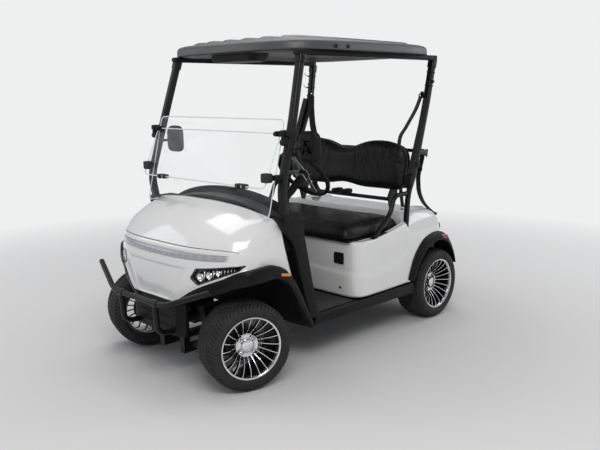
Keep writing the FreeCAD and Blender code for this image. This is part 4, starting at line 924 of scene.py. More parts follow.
dash = dict(
    half=0.560, arch=(0.25, 0.45), tray=0.014, trayX=(0.622, 0.668), trayY=(0.385, 0.515),
    shelf=(0.512, 0.600), shelfUp=0.0009, shelfRim=0.002, front=0.688, frontBack=0.055, taper=0.075,
    ends=((0.56, 0.14), (0.80, 0.10)), rearX=0.4505,
    under=((0.520, 0.699), (0.640, 0.740), (0.680, 0.860)), underFall=(0, 0, 0.6),
    # (x, z) on the middle plane from under the hood's rear edge over the shelf and pad to the rear face.
    top=((0.688, 0.925), (0.680, 0.946), (0.664, 0.946), (0.645, 0.938), (0.628, 0.932), (0.614, 0.936),
         (0.606, 0.950), (0.596, 0.959), (0.570, 0.962), (0.535, 0.965), (0.514, 0.968), (0.504, 0.978),
         (0.494, 0.993), (0.478, 1.002), (0.462, 0.997), (0.453, 0.982), (0.451, 0.960)),
    rearLevels=(0.93, 0.90, 0.878, 0.868, 0.863, 0.860, 0.857, 0.850, 0.82, 0.79, 0.770, 0.763, 0.760, 0.757, 0.750,
                0.735, 0.712, 0.704, 0.700),
    cubbies=((-0.480, -0.230), (-0.190, 0.060), (0.380, 0.520)), cubbyZ=(0.760, 0.860), cubbyDeep=0.095,
)
cover = dict(
    outline=((0.342, 0.299), (0.452, 0.790), (0.4565, 0.880), (0.470, 0.892), (0.628, 0.892), (0.640, 0.884),
             (0.594, 0.815), (0.539, 0.750), (0.508, 0.665), (0.492, 0.592), (0.452, 0.440), (0.404, 0.299)),
    head=((0.462, 0.812), (0.462, 0.9110), (0.632, 0.9110), (0.590, 0.812)), y=(0.568, 0.5925), headIn=0.500,
    socket=((0.560, 0.880), (0.618, 0.880), (0.622, 0.912), (0.562, 0.912)), bolts=((0.476, 0.862), (0.610, 0.872)),
)
glass = dict(
    half=0.545, thick=0.0055, corner=0.035,
    lower=((0.660, 0.946), (0.545, 1.404)), upper=((0.575, 1.333), (0.698, 1.056)),
)
# Hinge clamps, rests with their arms and clips: turned profiles, and blocks in satin black,
# rubber and steel (millimetres)
clamps = dict(
    knob=((0, 0), (0, 10), (3, 12.5), (10, 12.5), (13, 10), (14.5, 6), (14.5, 0)),
    ribs=((0, 0), (0, 16), (4, 18.5), (9, 18.5), (12, 16), (12, 0)),
    blocks=(
        ((540, 600, 556, 592, 1322, 1352, 6), (560, 592, 512, 560, 1318, 1346, 5),
         (560, 596, 564, 588, 1272, 1322, 5), (604, 652, 545, 590, 1096, 1124, 5)),
        ((648, 694, 508, 560, 1086, 1134, 6), (672, 706, 318, 398, 1044, 1068, 4)),
        ((690, 712, 338, 378, 1050, 1064, 3),),
    ),
)
strut = dict(front=((0.411, 0.538, 1.740), (0.510, 0.568, 1.393), (0.617, 0.585, 1.036), (0.589, 0.582, 0.884)),
             rear=((-0.836, 0.532, 1.740), (-0.789, 0.522, 1.474), (-0.602, 0.550, 0.989), (-0.560, 0.549, 0.880),
                   (-0.545, 0.548, 0.676)), size=0.042, corner=0.012, bend=0.075)
wheelAt = dict(
    centre=(0.120, 0.270, 1.060), tilt=radians(50), ring=0.170, grip=0.0135,
    hub=((-0.023, 0), (-0.023, 0.030), (-0.018, 0.033), (0.004, 0.033), (0.010, 0.030), (0.0115, 0.024), (0.0115, 0)),
    # Square plates: half size, from and to along the column, material; the column's radius at
    # shares of its length; the spokes, which narrow in their middle by a squared sine.
    plates=((0.027, 0.0105, 0.0150, 1), (0.009, 0.0145, 0.0175, 2), (0.031, -0.0235, -0.0305, 1)),
    column=((0, 0.02, 0.30, 0.34, 1), (0.0225, 0.0235, 0.0235, 0.0195, 0.0195)),
    spoke=dict(turns=(0.0, pi, 1.5 * pi), start=0.026, short=0.036, half=0.0205, waist=0.0065, dish=0.0075,
               thick=0.0035),
)


def webbing(path, wide, thick, across):
    # A flat strap along a path, its width laid along across.
    path = np.asarray(path, float)
    w, t = wide / 2, thick / 2
    profile = rounded([(-w, -t), (w, -t), (w, t), (-w, t)], thick * 0.45, 3)
    ahead = unit(np.gradient(path, axis=0))
    side = unit(np.broadcast_to(np.asarray(across, float), path.shape)
                - ahead * np.sum(ahead * np.asarray(across, float), axis=1, keepdims=True))
    lift = np.cross(ahead, side)
    grid = path[:, None] + side[:, None] * profile[None, :, :1] + lift[:, None] * profile[None, :, 1:]
    run = np.concatenate([[0], np.cumsum(np.linalg.norm(np.diff(path, axis=0), axis=1))])
    uv = np.stack(np.broadcast_arrays(run[:, None], profile[:, 0]), axis=2)
    return dict(grid=grid, wrapV=True, caps=True, uv=uv)


def archDrop(y):
    # How far the dash falls away from its middle line: a share of y squared and of y to the fourth.
    a, b = dash["arch"]
    return a * y ** 2 + b * y ** 4


def makeDash():
    # A closed section of (x, z) carried across the cart. It shrinks at both ends towards a point
    # inside it, its top falls towards the ends, its front edge draws back there, and its rear
    # face sinks into three cubbies; the shelf in front of the pad is a lighter strip.
    half, (low, high) = dash["half"], dash["cubbyZ"]
    marks = [b + s for c in dash["cubbies"] for b in c for s in (-0.006, -0.003, 0, 0.003, 0.006)]
    across = np.unique(np.round(np.concatenate([np.linspace(-half, half, 81), marks]), 5))[:, None]
    off = np.abs(across)
    top = evenly(spline(dash["top"], 120), 76)
    rear = atX(dash["rearX"], dash["rearLevels"])
    u, w = np.concatenate([top, rear, dash["under"]]).T
    fall = np.concatenate([np.ones(len(top)), np.clip((rear[:, 1] - 0.87) / 0.08, 0, 1), dash["underFall"]])
    end = smooth(off, half - 0.014, half + 0.004)
    (x0, shrinkX), (z0, shrinkZ) = dash["ends"]
    x = x0 + (u - x0) * (1 - shrinkX * end)
    z = z0 + (w - archDrop(across) * fall - z0) * (1 - shrinkZ * end)
    x = np.minimum(x, dash["front"] - dash["frontBack"] * smooth(off, 0.43, 0.55))
    onRear = (np.arange(len(u)) >= len(top)) & (np.arange(len(u)) < len(top) + len(rear))
    for y0, y1 in dash["cubbies"]:
        depth = barrier(across, y0 + 0.002, y1 - 0.002, 0.004) * barrier(w, low + 0.001, high - 0.001, 0.003)
        x = x + dash["cubbyDeep"] * depth * onRear
    # Two shallow trays in front of the shelf, near the ends
    tray = barrier(u, *dash["trayX"], 0.008) * barrier(off, *dash["trayY"], 0.012)
    z = z - dash["tray"] * tray * (w > 0.9)
    y = across * (1 - dash["taper"] * smooth(x, 0.56, 0.66) * smooth(off, 0.3, 0.5))
    grid = np.stack([x, y, z], axis=2)
    piece("dashPad", dict(grid=grid, wrapV=True, caps=True), "blackPlastic", ["dash"], sharp=50)
    rows = off[:, 0] < half - 0.03
    columns = np.flatnonzero((top[:, 0] > dash["shelf"][0]) & (top[:, 0] < dash["shelf"][1]))
    strip = grid[rows][:, columns] + np.array([0, 0, dash["shelfUp"]])
    rim = np.ones(strip.shape[:2])
    rim[[0, -1]], rim[:, [0, -1]] = 0, 0
    strip[..., 2] -= dash["shelfRim"] * (1 - rim)
    piece("dashShelf", outward(dict(grid=strip), (0.5, 0, 0)), "graphite", sharp=60, out=False)


def makeDashTrim():
    # Beads round the cubbies, the round socket, the display and two switches.
    trim = []
    low, high = dash["cubbyZ"][0] + 0.002, dash["cubbyZ"][1] - 0.002
    for y0, y1 in dash["cubbies"]:
        loop = atX(0.4500, rounded([(y0, low), (y1, low), (y1, high), (y0, high)], 0.012, 5))
        trim.append(roundBar(loop, 0.0035, 8, (1, 0, 0), True))
    trim.append(disc((-1, 0, 0), (0.4515, 0.325, 0.845), 0.016, 0.006))
    trim.append(disc((-1, 0, 0), (0.4455, 0.325, 0.845), 0.010, 0.004, tone=1))
    trim += boxes([(442.5, 450.5, 190, 245, 890, 922, 3)], 2)
    trim += boxes([(443, 450.5, 190, 212, 800, 832, 3), (443, 450.5, 218, 240, 800, 832, 3)])
    piece("dashTrim", trim, "satinBlack plainSteel rimBlack")


def makeCovers():
    # The covers at the foot of the struts: a flat strip down to the sill with a boxy head.
    low, high = cover["y"]
    side = slab(rounded(cover["outline"], 0.014, 5), low, high, "XZ", 0.006, 5)
    head = slab(rounded(cover["head"], 0.018, 6), cover["headIn"], high - 0.003, "XZ", 0.008, 5)
    socket = slab(rounded(cover["socket"], 0.01, 4), 0.553, 0.611, "XZ", 0.006, 4)
    bolts = [disc((0, 1, 0), (x, 0.5915, z), 0.006, 0.003, 0.001, 18, 1) for x, z in cover["bolts"]]
    piece("strutCovers", pair(side, head, socket, *bolts), "blackPlastic satinBlack",
          ["cowl_covers"])


def paneOn(ends, half, arched):
    # A flat pane between two heights: a rounded outline in (y, height), leaned by its two ends;
    # an arched one follows the dash at its foot.
    (x0, z0), (x1, z1) = ends
    low, high = min(z0, z1), max(z0, z1)
    ring = rounded([(-half, low), (half, low), (half, high), (-half, high)], glass["corner"], 8)
    ring = evenly(ring, 260, True)
    if arched:
        ring[:, 1] -= 0.5 * archDrop(ring[:, 0]) * (1 - smooth(ring[:, 1], 0.93, 1.12))
    t = glass["thick"] / 2
    part = slab(ring, -t, t, "YZ", 0.0012, 3)
    grid = part["grid"].copy()
    grid[..., 0] += x0 + (grid[..., 2] - z0) * (x1 - x0) / (z1 - z0)
    return dict(part, grid=grid), ring, (x0, z0, (x1 - x0) / (z1 - z0))


def makeWindshield():
    # Two panes, the upper one folded down in front of the lower, each with a polished rim; a
    # gasket at the foot; and the clamps, rests and clips that hold them.
    panes, rims = [], []
    for ends in (glass["lower"], glass["upper"]):
        part, loop, (x0, z0, slope) = paneOn(ends, glass["half"], ends is glass["lower"])
        panes.append(part)
        path = np.column_stack([x0 + (loop[:, 1] - z0) * slope, loop])
        edge = np.array([(-1, -1), (1, -1), (1, 1), (-1, 1)]) * np.array([glass["thick"] / 2 + 0.0004, 0.0011])
        rims.append(carried(edge, path, (1, 0, 0), True))
        if ends is glass["lower"]:
            foot = path[(path[:, 2] < 1.0) & (np.abs(path[:, 1]) < 0.36)]
            foot = foot[np.argsort(foot[:, 1])]
            gasket = roundBar(foot, 0.0075, 12, (1, 0, 0))
    piece("windshieldPanes", panes, "pane", ["windshield"], sharp=30)
    piece("windshieldRims", rims, "paneEdge", sharp=50)
    knob, ribs = mm * np.array(clamps["knob"]), mm * np.array(clamps["ribs"])
    parts = [part for tone in (0, 1, 2) for part in boxes(clamps["blocks"][tone], tone)]
    parts += [
        lathe(knob, 20, (1, 0, 0.35), (0.592, 0.528, 1.330)), lathe(knob, 20, (1, 0, -0.1), (0.706, 0.358, 1.056)),
        lathe(ribs, 20, (0, 1, 0), (0.570, 0.590, 1.334)), lathe(ribs, 20, (1, 0, 0.3), (0.586, 0.574, 1.290)),
        disc((0, 1, 0), (0.622, 0.589, 1.110), 0.010, 0.006), disc((0, -1, 0), (0.572, 0.5125, 1.333), 0.009, 0.004),
    ]
    piece("windshieldClamps", [dict(gasket, tone=1)] + pair(*parts), "satinBlack rubber plainSteel",
          ["windshield_clips"])


def squareBar(points, size, bend=0, count=6, taper=((0, 1), (1, 1))):
    # A square tube with rounded corners along a bent path, its size scaled by taper.
    h = size / 2
    profile = rounded([(-h, -h), (h, -h), (h, h), (-h, h)], strut["corner"], 6)
    share = np.interp(np.linspace(0, 1, count), *taper)
    return carried(profile, bent(points, bend, count), (0, 1, 0), scale=share)


def makeStruts():
    # Front and rear struts with a collar at their heads; the rear ones carry cable ties and a peg.
    wide, wider = strut["size"] - 0.001, strut["size"] + 0.006
    top = np.array(strut["front"][0])
    front = squareBar(strut["front"], wide, strut["bend"], 90)
    collar = squareBar([top, top + (0.012, 0.004, -0.045)], wider)
    bolts = [disc((0, 1, 0), (x, 0.5635, z), 0.007, 0.004, 0.001, 18) for x, z in ((0.415, 1.722), (0.421, 1.702))]
    piece("frontStruts", pair(front, collar, *bolts), "blackMetal", ["front_struts"])
    top, bottom = np.array(strut["rear"][:2])
    rear = squareBar(strut["rear"], wide, 0.06, 90, ((0, 0.70, 0.78, 1), (1, 1, 0.74, 0.74)))
    parts = [rear, squareBar([top, top + (0.009, -0.002, -0.05)], wider)]
    way = unit(bottom - top) * 0.003
    for share in (0.30, 0.62):
        at = top + (bottom - top) * share
        x, y, z = at
        tail = at + mm * np.array([(20, 22, 0), (34, 34, 6), (43, 36, 18), (46, 34, 30)])
        parts += [dict(squareBar([at - way, at + way], strut["size"] + 0.0045, 0, 4), tone=1),
                  dict(webbing(evenly(spline(tail, 20), 16), 0.0045, 0.0014, (0, 0, 1)), tone=1),
                  box((x + 0.014, x + 0.026), (y + 0.019, y + 0.027), (z - 0.005, z + 0.005), 0.0015, 1)]
    parts.append(disc((0, 1, 0), (-0.812, 0.5445, 1.600), 0.009, 0.016))
    parts += boxes([(-655, -612, 566, 577, 1058, 1092, 4)], 1)
    piece("rearStruts", pair(*parts), "blackMetal blackPlastic", ["rear_struts"])


mirror = dict(
    outline=((0.524, 1.196), (0.548, 1.172), (0.650, 1.172), (0.671, 1.200), (0.671, 1.312), (0.642, 1.341),
             (0.552, 1.341), (0.524, 1.316)), corner=0.030,
    # The shell's rings from the rear face to the back: how far drawn in, and x
    rings=((0.055, 0.4365), (0.030, 0.4362), (0.016, 0.434), (0.006, 0.428), (0.001, 0.419), (0.0, 0.409),
           (0.0015, 0.402), (0.004, 0.3985), (0.009, 0.3985), (0.010, 0.4015)),
    arm=((0.430, 0.596, 1.251), (0.486, 0.597, 1.251), (0.548, 0.588, 1.250)), ball=0.013,
    foot=((0, 0), (0, 0.017), (0.010, 0.017), (0.013, 0.012), (0.013, 0)),
)


def makeMirrors():
    # A rounded shell with its mirror on the rear face, a ball joint and an arm to the strut.
    outline = anticlockwise(evenly(rounded(mirror["outline"], mirror["corner"], 8), 120, True))
    rings = [atX(x, drawnIn(outline, draw)) for draw, x in mirror["rings"]]
    face = slab(drawnIn(outline, 0.0105), 0.3990, 0.4030, "YZ", 0.0012, 3)
    ball = [(mirror["ball"] * cos(a), mirror["ball"] * sin(a)) for a in np.linspace(pi, 0, 12)]
    parts = [dict(grid=np.stack(rings), wrapV=True, caps=True), dict(face, tone=1),
             dict(roundBar(bent(mirror["arm"], 0.03, 24), 0.0085, 16), tone=2),
             lathe(ball, 18, (1, 0, 0), (0.444, 0.596, 1.251), 2),
             lathe(mirror["foot"], 20, (0, 1, 0), (0.552, 0.583, 1.250), 2)]
    piece("sideMirrors", pair(*parts), "blackPlastic mirrorGlass satinBlack", ["side_mirrors"])


def onWheel(u, v, w):
    # A point in the steering wheel's own axes: up the wheel, to its left, and along the column.
    tilt = wheelAt["tilt"]
    up = np.array([cos(tilt), 0, sin(tilt)])
    out = np.array([-sin(tilt), 0, cos(tilt)])
    u, v, w = (np.asarray(a, float)[..., None] for a in (u, v, w))
    return np.array(wheelAt["centre"]) + u * up + v * np.array([0, 1.0, 0]) + w * out


def makeSteering():
    # The rim with moulded finger waves, three dished spokes, the hub with its square plate; the
    # column with a shroud.
    a = np.linspace(0, 2 * pi, 144, endpoint=False)[:, None]
    b = np.linspace(0, 2 * pi, 20, endpoint=False)[None]
    grip = wheelAt["grip"] * (1 - 0.035 * (0.5 + 0.5 * np.cos(24 * a)) * (np.cos(b) < 0.2))
    reach = wheelAt["ring"] - 0.0005 + grip * np.cos(b)
    rim = dict(grid=onWheel(reach * np.cos(a), reach * np.sin(a), grip * np.sin(b) * 0.98), wrapU=True, wrapV=True)
    parts = [rim]
    spoke = wheelAt["spoke"]
    t = np.linspace(0, 1, 26)[:, None]
    across, up = rounded([(-1, -1), (1, -1), (1, 1), (-1, 1)], 0.5, 5).T
    u = spoke["start"] + t * (wheelAt["ring"] - spoke["short"]) + 0 * across
    v = across * (spoke["half"] - spoke["waist"] * np.sin(pi * t) ** 2)
    lift = spoke["dish"] * (1 - smooth(t, 0.25, 1.0)) + up * spoke["thick"]
    for turn in spoke["turns"]:
        parts.append(dict(grid=onWheel(u * cos(turn) - v * sin(turn), u * sin(turn) + v * cos(turn), lift),
                          wrapV=True, caps=True, tone=1))
    out = onWheel(0, 0, 1) - onWheel(0, 0, 0)
    parts.append(lathe(wheelAt["hub"], 40, out, wheelAt["centre"]))
    square = rounded([(-1, -1), (1, -1), (1, 1), (-1, 1)], 0.3, 5)
    for size, low, high, tone in wheelAt["plates"]:
        levels = np.array([low, high - 0.001 * np.sign(high), high])
        scale = np.array([size, size, size - 0.0012])
        flat = square[None] * scale[:, None, None]
        parts.append(dict(grid=onWheel(flat[..., 0], flat[..., 1], levels[:, None] + 0 * flat[..., 0]), wrapV=True,
                          caps=True, tone=tone))
    piece("steeringWheel", parts, "blackPlastic silverPlate rimBlack", ["steering_wheel"],
          "steering_wheel", sharp=45)
    path = onWheel(np.zeros(30), np.zeros(30), np.linspace(-0.0255, -0.436, 30))
    size = np.interp(np.linspace(0, 1, 30), *wheelAt["column"])
    circle = np.linspace(0, 2 * pi, 32, endpoint=False)
    column = carried(np.column_stack([np.cos(circle), np.sin(circle)]), path, (0, 1, 0), scale=size)
    tip = onWheel(0.004, 0.075, -0.100)
    lever = roundBar(bent([onWheel(0, 0.018, -0.105), tip], 0.01, 12), 0.0045, 12)
    knob = lathe([(0, 0), (0, 0.0075), (0.016, 0.009), (0.022, 0.006), (0.022, 0)], 16, (0, 1, 0), tip, 1)
    piece("steeringColumn", [column, dict(lever, tone=1), knob], "satinBlack blackPlastic",
          ["steering_column"])


footwell = dict(
    # The mat: half its width, its ribs' pitch, the floor, the mat and the ribs' rise on it, and
    # its edges and middle as (x, share of the height).
    half=0.530, pitch=0.0265, floor=0.2990, foot=0.3012, rib=0.0030,
    along=((-0.020, 0.2), (-0.016, 1), (0.150, 1), (0.404, 1), (0.410, 0.2)),
    sill=((-0.604, 0.224), (-0.604, 0.2975), (0.361, 0.2975), (0.361, 0.247)), sillY=(0.5485, 0.5815),
    treads=4, treadStep=7.5, pedals=((0.236, 0.309, 0.351, 0.439), (0.141, 0.194, 0.331, 0.449)),
)


def makeFootwell():
    # The ribbed mat in the footwell, its ribs clipped cosines; the treads along the sills; and
    # the two pedals with their bars.
    wave = np.linspace(-0.5, 0.5, 9)
    ribs = np.arange(-footwell["half"], footwell["half"] + 0.0001, footwell["pitch"])
    y = (ribs[:, None] + wave[None] * footwell["pitch"]).ravel()
    rise = np.tile(np.clip(np.cos(wave * 2 * pi) * 1.6 + 0.2, 0, 1), len(ribs)) * footwell["rib"]
    x, share = np.array(footwell["along"]).T[..., None]
    level = footwell["floor"] + (footwell["foot"] + rise - footwell["floor"]) * share
    mats = dict(grid=np.stack(np.broadcast_arrays(x, y, level), axis=2))
    piece("floorMat", outward(mats, (0.2, 0, 0)), "floorMat", sharp=60, out=False)
    sill = slab(rounded(footwell["sill"], 0.012, 6), *footwell["sillY"], "XZ", 0.007, 5)
    steps = [k * footwell["treadStep"] for k in range(footwell["treads"])]
    treads = boxes([(-20, 330, 553 + step, 556 + step, 296.5, 300, 0.8) for step in steps], 1)
    piece("sideSills", pair(sill, *treads), "satinBlack rubber", ["side_sills"])
    parts = []
    for y0, y1, z0, z1 in footwell["pedals"]:
        pad = rounded([(y0, z0), (y1, z0), (y1, z1), (y0, z1)], 0.010, 5)
        parts.append(slab(pad, 0.4145, 0.4295, "YZ", 0.003, 4))
        parts += [box((0.4115, 0.4155), (y0 + 0.008, y1 - 0.008), (level, level + 0.005), 0.001)
                  for level in np.arange(z0 + 0.014, z1 - 0.008, 0.013)]
    piece("pedalPads", parts, "rubber", ["pedals"])


makeDash()
makeDashTrim()
makeCovers()
makeWindshield()
makeStruts()
makeMirrors()
makeSteering()
makeFootwell()
print("cabin made")


# Rear body

# Stations of the pod from the front's middle round to the bag well: x, y, top, and how far the
# section is a deck's (0 a thin rim, 1 a wide shoulder) and a tail's (1 a slope to the rear).
pod = dict(
    stations=np.array([
        (-30, 0, 650, 0, 0), (-30, 210, 650, 0, 0), (-30.5, 410, 650, 0, 0), (-32, 478, 650, 0, 0),
        (-43, 520, 650, 0, 0), (-68, 548, 650, 0, 0), (-110, 561, 650.5, 0, 0), (-220, 566, 653, 0, 0),
        (-400, 570, 681, 0, 0), (-510, 573, 706, 0.12, 0), (-556, 574, 733, 0.75, 0), (-610, 575, 760, 1, 0),
        (-720, 576, 768, 1, 0), (-840, 575, 759, 1, 0.02), (-925, 566, 744, 1, 0.12), (-988, 537, 742, 1, 0.55),
        (-1024, 492, 744, 1, 0.9), (-1038, 440, 746, 1, 1), (-1040, 376, 746, 1, 1),
    ]),
    rimProfile=((0, 310), (0, 470), (0, -60), (0.5, -20), (3, -7), (10, -1), (22, 0), (40, 0), (40.5, 646)),
    deckProfile=((0, 305), (0, 440), (0, -168), (6, -110), (20, -62), (45, -27), (75, -8), (100, 0), (112, -0.6)),
    tailProfile=((0, 300), (0, 370), (12, 450), (35, 600), (72, 690), (118, 735), (150, 748), (185, 756),
                 (198, 756)),
    rowSteps=(14, 22, 9, 7, 7, 7, 6, 6, 4),
    ledge=((0, 482, 8), (488, 466, 8.5), (580, 459, 9), (700, 456, 9), (855, 465, 8), (942, 488, 6),
           (992, 518, 3.5), (1045, 565, 0), (1900, 600, 0)),
    ledgeSlope=26, seam=((344, 465), (631, 498)), seamWide=1.1, seamDeep=1.6,
    arch=((-557, 250), (-568, 389), (-592, 448), (-644, 518), (-711, 571), (-794, 597), (-851, 600),
          (-930, 588), (-1010, 545), (-1068, 480), (-1094, 415), (-1099, 250)),
    archLap=0.011, wall=0.006, ledgeEnd=0.45,
    deck=((-549, 764), (-600, 768), (-780, 768), (-850, 757), (-912, 741), (-960, 735)), deckHalf=0.485,
    recess=((-0.549, -0.500, -0.070, -0.036), (-0.523, -0.470, 0.470, 0.523)), recessFloor=0.6478,
    wellHalf=0.375, wellFront=-0.790, wellFloor=0.430, wellTop=0.7672,
    wellSide=((-1.036, 0.300), (-1.036, 0.44), (-1.020, 0.60), (-0.985, 0.690), (-0.945, 0.728), (-0.89, 0.748),
              (-0.83, 0.762), (-0.790, 0.7672), (-0.790, 0.430), (-0.96, 0.430), (-0.96, 0.300)),
    port=((382, 458), (506, 577)), button=(436, 360),
    portRing=((0, 20), (3.5, 21.5), (4.5, 24), (3.5, 26.5), (0, 28)), portDish=((0.4, 20), (1.8, 16), (2.2, 0)),
    # Rows and columns of the lamps and their beds on the pod's net, and how proud they stand
    lamp=((2.80, 3.34), (14.25, 16.5), 0.006), bed=((2.74, 3.42), (14.1, 16.7), 0.003),
)
rearFlare = dict(
    stations=mm * np.array([
        [(-545, 579, 322), (-588, 598, 312)], [(-551, 580, 350), (-600, 602, 345)],
        [(-568, 580, 393), (-621, 605, 395)], [(-594, 580, 452), (-658, 606, 452)],
        [(-644, 580, 520), (-706, 607, 496)], [(-711, 580, 573), (-760, 607, 524)],
        [(-784, 580, 597), (-820, 607, 539)], [(-851, 580, 602), (-868, 607, 543)],
        [(-930, 579, 590), (-925, 607, 533)], [(-1006, 576, 549), (-980, 606, 503)],
        [(-1062, 572, 486), (-1028, 605, 452)], [(-1090, 570, 418), (-1062, 604, 396)],
        [(-1097, 569, 352), (-1083, 602, 346)],
    ]),
    reflector=((-882, 580), (-974, 566), (-974, 541), (-886, 552)), axle=(-0.864, 0.238),
    liner=(0.600, 0.54, 0.46, 0.392), linerOut=(0.0, 0.010, 0.012, 0.012),
)


def podNet():
    # Each station's section: its profile, blended between rim, deck and tail, laid along the
    # plan's inward normal; heights of 0 or less are measured down from the station's top.
    plan = pod["stations"][:, :2]
    ahead = unit(np.gradient(plan, axis=0))
    inward = np.stack([-ahead[:, 1], ahead[:, 0]], axis=1)
    inward *= np.sign(np.sum(inward * (np.array([-500.0, 0]) - plan), axis=1, keepdims=True))
    net = []
    for (x, y, top, deck, tail), way in zip(pod["stations"], inward):
        shapes = []
        for name in ("rimProfile", "deckProfile", "tailProfile"):
            profile = np.array(pod[name], float)
            low = profile[:, 1] <= 0
            profile[low, 1] += top
            shapes.append(profile)
        section = shapes[0] * (1 - deck) + shapes[1] * deck
        section = section * (1 - tail) + shapes[2] * tail
        net.append([(x + way[0] * inset, y + way[1] * inset, z) for inset, z in section])
    net = np.array(net)
    net[0, :, 1] = 0
    return mirroredNet(net * mm)


podWhole = podNet()
podCentre = np.array([-0.5, 0, 0.4])
podRows = np.concatenate([np.linspace(k, k + 1, n, endpoint=False) for k, n in enumerate(pod["rowSteps"][:-1])]
                         + [[8.0]])


def podColumns():
    # Column places at even steps round the plan, closer together where the seam runs.
    last = len(pod["stations"]) - 1
    fine = np.linspace(0, last, 2000)
    plan = spline(pod["stations"][:, :2], fine)
    run = np.concatenate([[0], np.cumsum(np.linalg.norm(np.diff(plan, axis=0), axis=1))])
    at = np.interp(np.linspace(0, run[-1], 215), run, fine)
    front = fine[fine < 4.6]
    dense = np.interp(np.arange(458, 507, 1.1), plan[fine < 4.6][:, 1], front)
    places = np.unique(np.concatenate([at, dense]).round(5))
    return np.concatenate([last - places[:0:-1], last + places]), np.interp(places, fine, run)


def makePod():
    # The shell with its ledge standing proud below a line round the pod and its two seams,
    # opened at the wheel arches; the deck and the recess under the seat belong to it.
    columns, run = podColumns()
    grid = skin(podWhole, podRows, columns)
    out = normals(grid)
    if np.sum(out * (grid - podCentre)) < 0:
        out = -out
    run = np.concatenate([run[:0:-1], run])[None, :]
    z = grid[..., 2] / mm
    ledge = np.array(pod["ledge"], float)
    line, size = np.interp(run, ledge[:, 0], ledge[:, 1]), np.interp(run, ledge[:, 0], ledge[:, 2])
    proud = size * (1 - smooth(z, line - pod["ledgeSlope"], line))
    (z0, y0), (z1, y1) = pod["seam"]
    seam = np.abs(np.abs(grid[..., 1]) / mm - (y0 + (z - z0) * (y1 - y0) / (z1 - z0)))
    wide, deep = pod["seamWide"], pod["seamDeep"]
    sunk = deep * (1 - smooth(seam, wide * 0.5, wide * 1.5)) * (run < 620) * (z < 642)
    way = out * np.array([1, 1, 0])
    grid = grid + way * (proud - sunk)[..., None] * mm
    middle = (grid[:-1, :-1] + grid[1:, 1:]) / 2
    arch = anticlockwise(mm * np.array(pod["arch"]))
    opened = (inside(middle[..., ::2], arch) > pod["archLap"]) & (np.abs(middle[..., 1]) > pod["ledgeEnd"])
    shell = outward(dict(grid=grid, keep=~opened), podCentre)
    piece("podShell", [shell, podDeck(), podRecess()], "whitePaint", ["rear_body"], sharp=42,
          thick=pod["wall"], out=False)


def podDeck():
    # The deck behind the seat: its height follows a line of (x, z), its edge narrows to the
    # rear, and the bag well's cells are left out.
    line = np.array(pod["deck"][::-1], float) * mm
    well, edge = pod["wellHalf"], pod["deckHalf"]
    x = np.unique(np.concatenate([np.linspace(-0.960, -0.549, 40), [pod["wellFront"]]]))
    y = np.unique(np.concatenate([np.linspace(-edge, edge, 60), [-well, well]]))
    x, y = np.meshgrid(x, y, indexing="ij")
    half = 0.476 - 0.062 * smooth(-x, 0.88, 0.96)
    beyond = np.abs(y) - well
    y = np.where(beyond > 1e-6, np.sign(y) * (well + beyond / (edge - well) * (half - well)), y)
    z = np.interp(x, line[:, 0], line[:, 1]) - 0.0008
    middleX, middleY = (x[1:, 1:] + x[:-1, :-1]) / 2, (y[1:, 1:] + y[:-1, :-1]) / 2
    well = (middleX < pod["wellFront"]) & (np.abs(middleY) < pod["wellHalf"])
    return outward(dict(grid=np.stack([x, y, z], axis=2), keep=~well), (-0.75, 0, 0))


def podRecess():
    # The shelf round the opening under the seat: nine cells without the middle one.
    x, y = np.meshgrid(*pod["recess"], indexing="ij")
    y = y * np.where((x > -0.05) & (np.abs(y) > 0.5), 0.955, 1)
    keep = np.ones((3, 3), bool)
    keep[1, 1] = False
    return outward(dict(grid=np.stack([x, y, np.full(x.shape, pod["recessFloor"])], axis=2), keep=keep), (-0.3, 0, 0))


def makePodWalls():
    # The step behind the seat, the bag well's front and floor, and its sides.
    low, high, half, front = pod["wellFloor"], pod["wellTop"], pod["wellHalf"], pod["wellFront"]
    wide = (-half - 0.004, half + 0.004)
    walls = [box((-0.557, -0.5488), (-0.522, 0.522), (0.640, 0.7665), 0.002),
             box((front - 0.002, front + 0.006), wide, (low - 0.008, high), 0.002),
             box((-1.036, front), wide, (low - 0.008, low), 0.002)]
    sides = [slab(pod["wellSide"], half, half + 0.006, "XZ", 0.002),
             box((-1.039, -1.031), (0.200, half + 0.004), (0.300, low), 0.002)]
    piece("podWalls", walls + pair(*sides), "whitePaint", sharp=42)


def raisedPatch(net, rows, columns, lift, rim=0.12, count=(16, 40)):
    # A patch of a net's surface, which rises by lift within rim of its edges.
    u, v = np.linspace(0, 1, count[0]), np.linspace(0, 1, count[1])
    near = np.minimum(np.minimum(u, 1 - u)[:, None] / rim, np.minimum(v, 1 - v)[None, :] / (rim * 0.4))
    grid = skin(net, rows[0] + (rows[1] - rows[0]) * u, columns[0] + (columns[1] - columns[0]) * v)
    rise = (smooth(near, 0, 1) * 1.2 - 0.2) * lift
    return grid + normals(grid) * rise[..., None]


